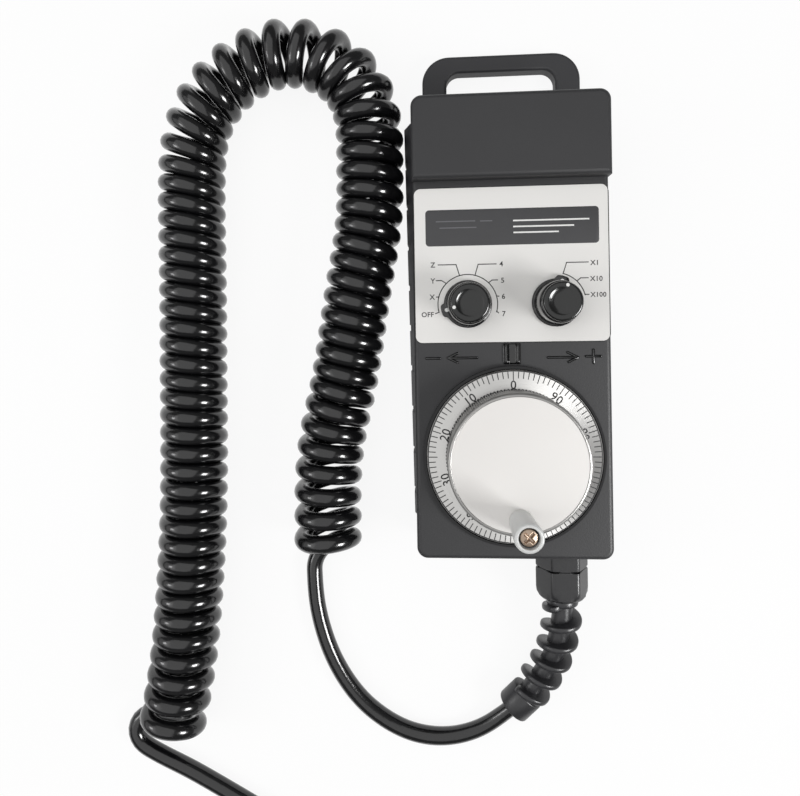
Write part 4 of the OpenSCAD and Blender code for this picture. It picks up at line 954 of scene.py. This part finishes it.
def cross_screw():
    """Pan-head screw: z = top - dome (r / R)^2 - depth across the arms of a cross, where
    the cross is the greater of two soft-edged bars that get shallower outwards."""
    low, high = node_box("crank_screw")
    radius, top = 3.5, high[2]
    r = np.r_[np.linspace(0, 0.97, 44) * radius, radius, radius, 2.0, 2.0, 0][:, None]
    a = np.linspace(0, TAU, 144, endpoint=False)[None, :]
    turn = a - math.radians(45)
    x, y = r * np.cos(turn), r * np.sin(turn)

    def bar(u, v):
        wide = 1 / (1 + np.exp((np.abs(u) - 0.5) * 16))
        long = np.clip((2.75 - np.abs(v)) / 0.5, 0, 1)
        return wide * long * (1.15 - 0.22 * np.abs(v))

    cross = np.maximum(bar(x, y), bar(y, x))
    z = top - 0.75 * (r / radius) ** 2 - 1.5 * cross
    z[44:] = np.array([top - 1.0, top - 1.9, top - 1.9, low[2], low[2]])[:, None]
    points = np.stack([crank[0] + r * np.cos(a), crank[1] + r * np.sin(a), z], -1)
    made = make_piece("cross_recess_screw", points, grid_faces(len(r), 144), "handwheel",
                      screw_steel, "crank_steel", sharp=50)
    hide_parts("crank_screw")


cross_screw()
# Painted shade in the crank's recess: a dark ring round the screw, 0.12 mm above the floor of the
# recess
recess_shade_low = node_box("crank_handle")[1][2] - 3.08
recess_shade_top = recess_shade_low + 0.38
lathe("recess_shade_ring", soften([(2.35, recess_shade_low), (4.1, recess_shade_low), (4.1, recess_shade_top),
                               (2.35, recess_shade_top), (2.35, recess_shade_low)], 0.08, 3),
      crank, 64, "handwheel", rubber, "crank_steel", sharp=50)


# Finishes of the carried-over nodes

coats = {
    case_abs: ["front_case"],
    rear_abs: ["rear_case"],
    rubber: ["case_seal", "gland_seal", "cord_tie"],
    dark_screw: ["case_screws", "encoder_screws", "axis_knob_screw", "multiplier_knob_screw"],
    plate_paint: ["front_plate"],
    gloss_abs: ["index_marker"],
    diallyl: ["axis_switch_body", "multiplier_switch_body"],
    brass: ["axis_switch_contacts", "multiplier_switch_contacts", "encoder_terminals"],
    steel: ["axis_switch_washer", "axis_switch_nut", "multiplier_switch_washer",
            "multiplier_switch_nut", "front_bearing", "rear_bearing", "click_ball",
            "click_spring", "wheel_shaft", "shaft_nut", "axis_spindle", "multiplier_spindle"],
    rim_black: ["encoder_bezel"],
    phenolic: ["encoder_cover", "encoder_sensor", "plug_insert"],
    turned_alloy: ["encoder_drum", "click_wheel"],
    board: ["encoder_board"],
    nylon: ["gland_body", "gland_nut", "gland_locknut"],
    soft_nylon: ["bend_protector"],
    plug_alloy: ["plug_body", "plug_ring"],
    face_paint: ["disc_face"],
    code_steel: ["code_wheel"],
    screw_steel: ["crank_screw"],
    dot_paint: ["axis_knob_dots", "multiplier_knob_dots"],
    sheath: ["cord_lead", "cord_curl", "cord_tail", "cord_coil", "cord_end"],
    dial_metal: ["dial"],
    rim_metal: ["hand_disc"],
    crank_paint: ["crank_handle"],
    cap_abs: ["axis_knob", "axis_knob_cap", "multiplier_knob", "multiplier_knob_cap"],
}
for coat, names in coats.items():
    for node in names:
        nodes[node].data.materials.clear()
        nodes[node].data.materials.append(coat)
bare = sorted(set(nodes) - {n for names in coats.values() for n in names})
print("nodes without a finish:", bare)


# Floor, lamps and surroundings

def floor_finish():
    """White card: it shows white to the eye and in reflections and keeps a soft shadow."""
    made = bpy.data.materials.new("white_card_floor")
    made.use_nodes = True
    tree = made.node_tree
    tree.nodes.clear()
    ray_kind = add(tree, "LightPath")
    seen = add(tree, "Math", {"operation": "MAXIMUM"},
               {0: ray_kind.outputs["Is Camera Ray"], 1: ray_kind.outputs["Is Glossy Ray"]})
    seen = add(tree, "Math", {"operation": "MAXIMUM"},
               {0: seen.outputs[0], 1: ray_kind.outputs["Is Transmission Ray"]})
    share = add(tree, "Math", {"operation": "MULTIPLY", 1: 0.9}, {0: seen.outputs[0]})
    card = add(tree, "BsdfDiffuse", {"Color": linear("#fbfbfb")})
    glow = add(tree, "Emission", {"Color": (1, 1, 1, 1), "Strength": 1.0})
    both = add(tree, "MixShader", links={0: share.outputs[0], 1: card.outputs[0],
                                         2: glow.outputs[0]})
    add(tree, "OutputMaterial", links={"Surface": both.outputs[0]})
    return made


def studio():
    """Floor plane, surroundings and five lamps; one of them lights reflections only."""
    floor_mesh = bpy.data.meshes.new("floor")
    floor_mesh.from_pydata([(-3, -3, 0), (3, -3, 0), (3, 3, 0), (-3, 3, 0)], [], [(0, 1, 2, 3)])
    floor_mesh.materials.append(floor_finish())
    floor = bpy.data.objects.new("floor", floor_mesh)
    bpy.context.scene.collection.objects.link(floor)
    world = bpy.data.worlds.new("surroundings")
    bpy.context.scene.world = world
    world.use_nodes = True
    tree = world.node_tree
    tree.nodes.clear()
    seen = add(tree, "Math", {"operation": "MAXIMUM", 1: 0.16},
               {0: add(tree, "LightPath").outputs["Is Camera Ray"]})
    around = add(tree, "Background", {"Color": linear("#ffffff")},
                 {"Strength": seen.outputs[0]})
    add(tree, "OutputWorld", links={"Surface": around.outputs[0]})
    for name, place, size, power, lights_all in (
            ("right_window", (0.62, -0.3, 0.62), (0.34, 0.26), 3.0, True),
            ("right_glint", (0.66, -0.32, 0.66), (0.4, 0.3), 8.0, False),
            ("left_window", (-1.0, -0.1, 0.6), (0.3, 0.2), 1.2, True),
            ("left_wall", (-1.7, 0.0, 0.9), (1.6, 1.4), 4.5, True),
            ("overhead_panel", (-0.5, 0.1, 1.5), (3.4, 2.4), 24.0, True)):
        lamp = bpy.data.lights.new(name, "AREA")
        lamp.shape = "RECTANGLE"
        lamp.size, lamp.size_y = size
        lamp.energy = power
        holder = bpy.data.objects.new(name, lamp)
        holder.location = place
        holder.visible_diffuse = lights_all
        aim = Vector((-0.03, -0.03, 0.02)) - Vector(place)
        holder.rotation_euler = aim.to_track_quat("-Z", "Y").to_euler()
        bpy.context.scene.collection.objects.link(holder)
    bpy.context.scene.view_settings.view_transform = "Standard"


studio()
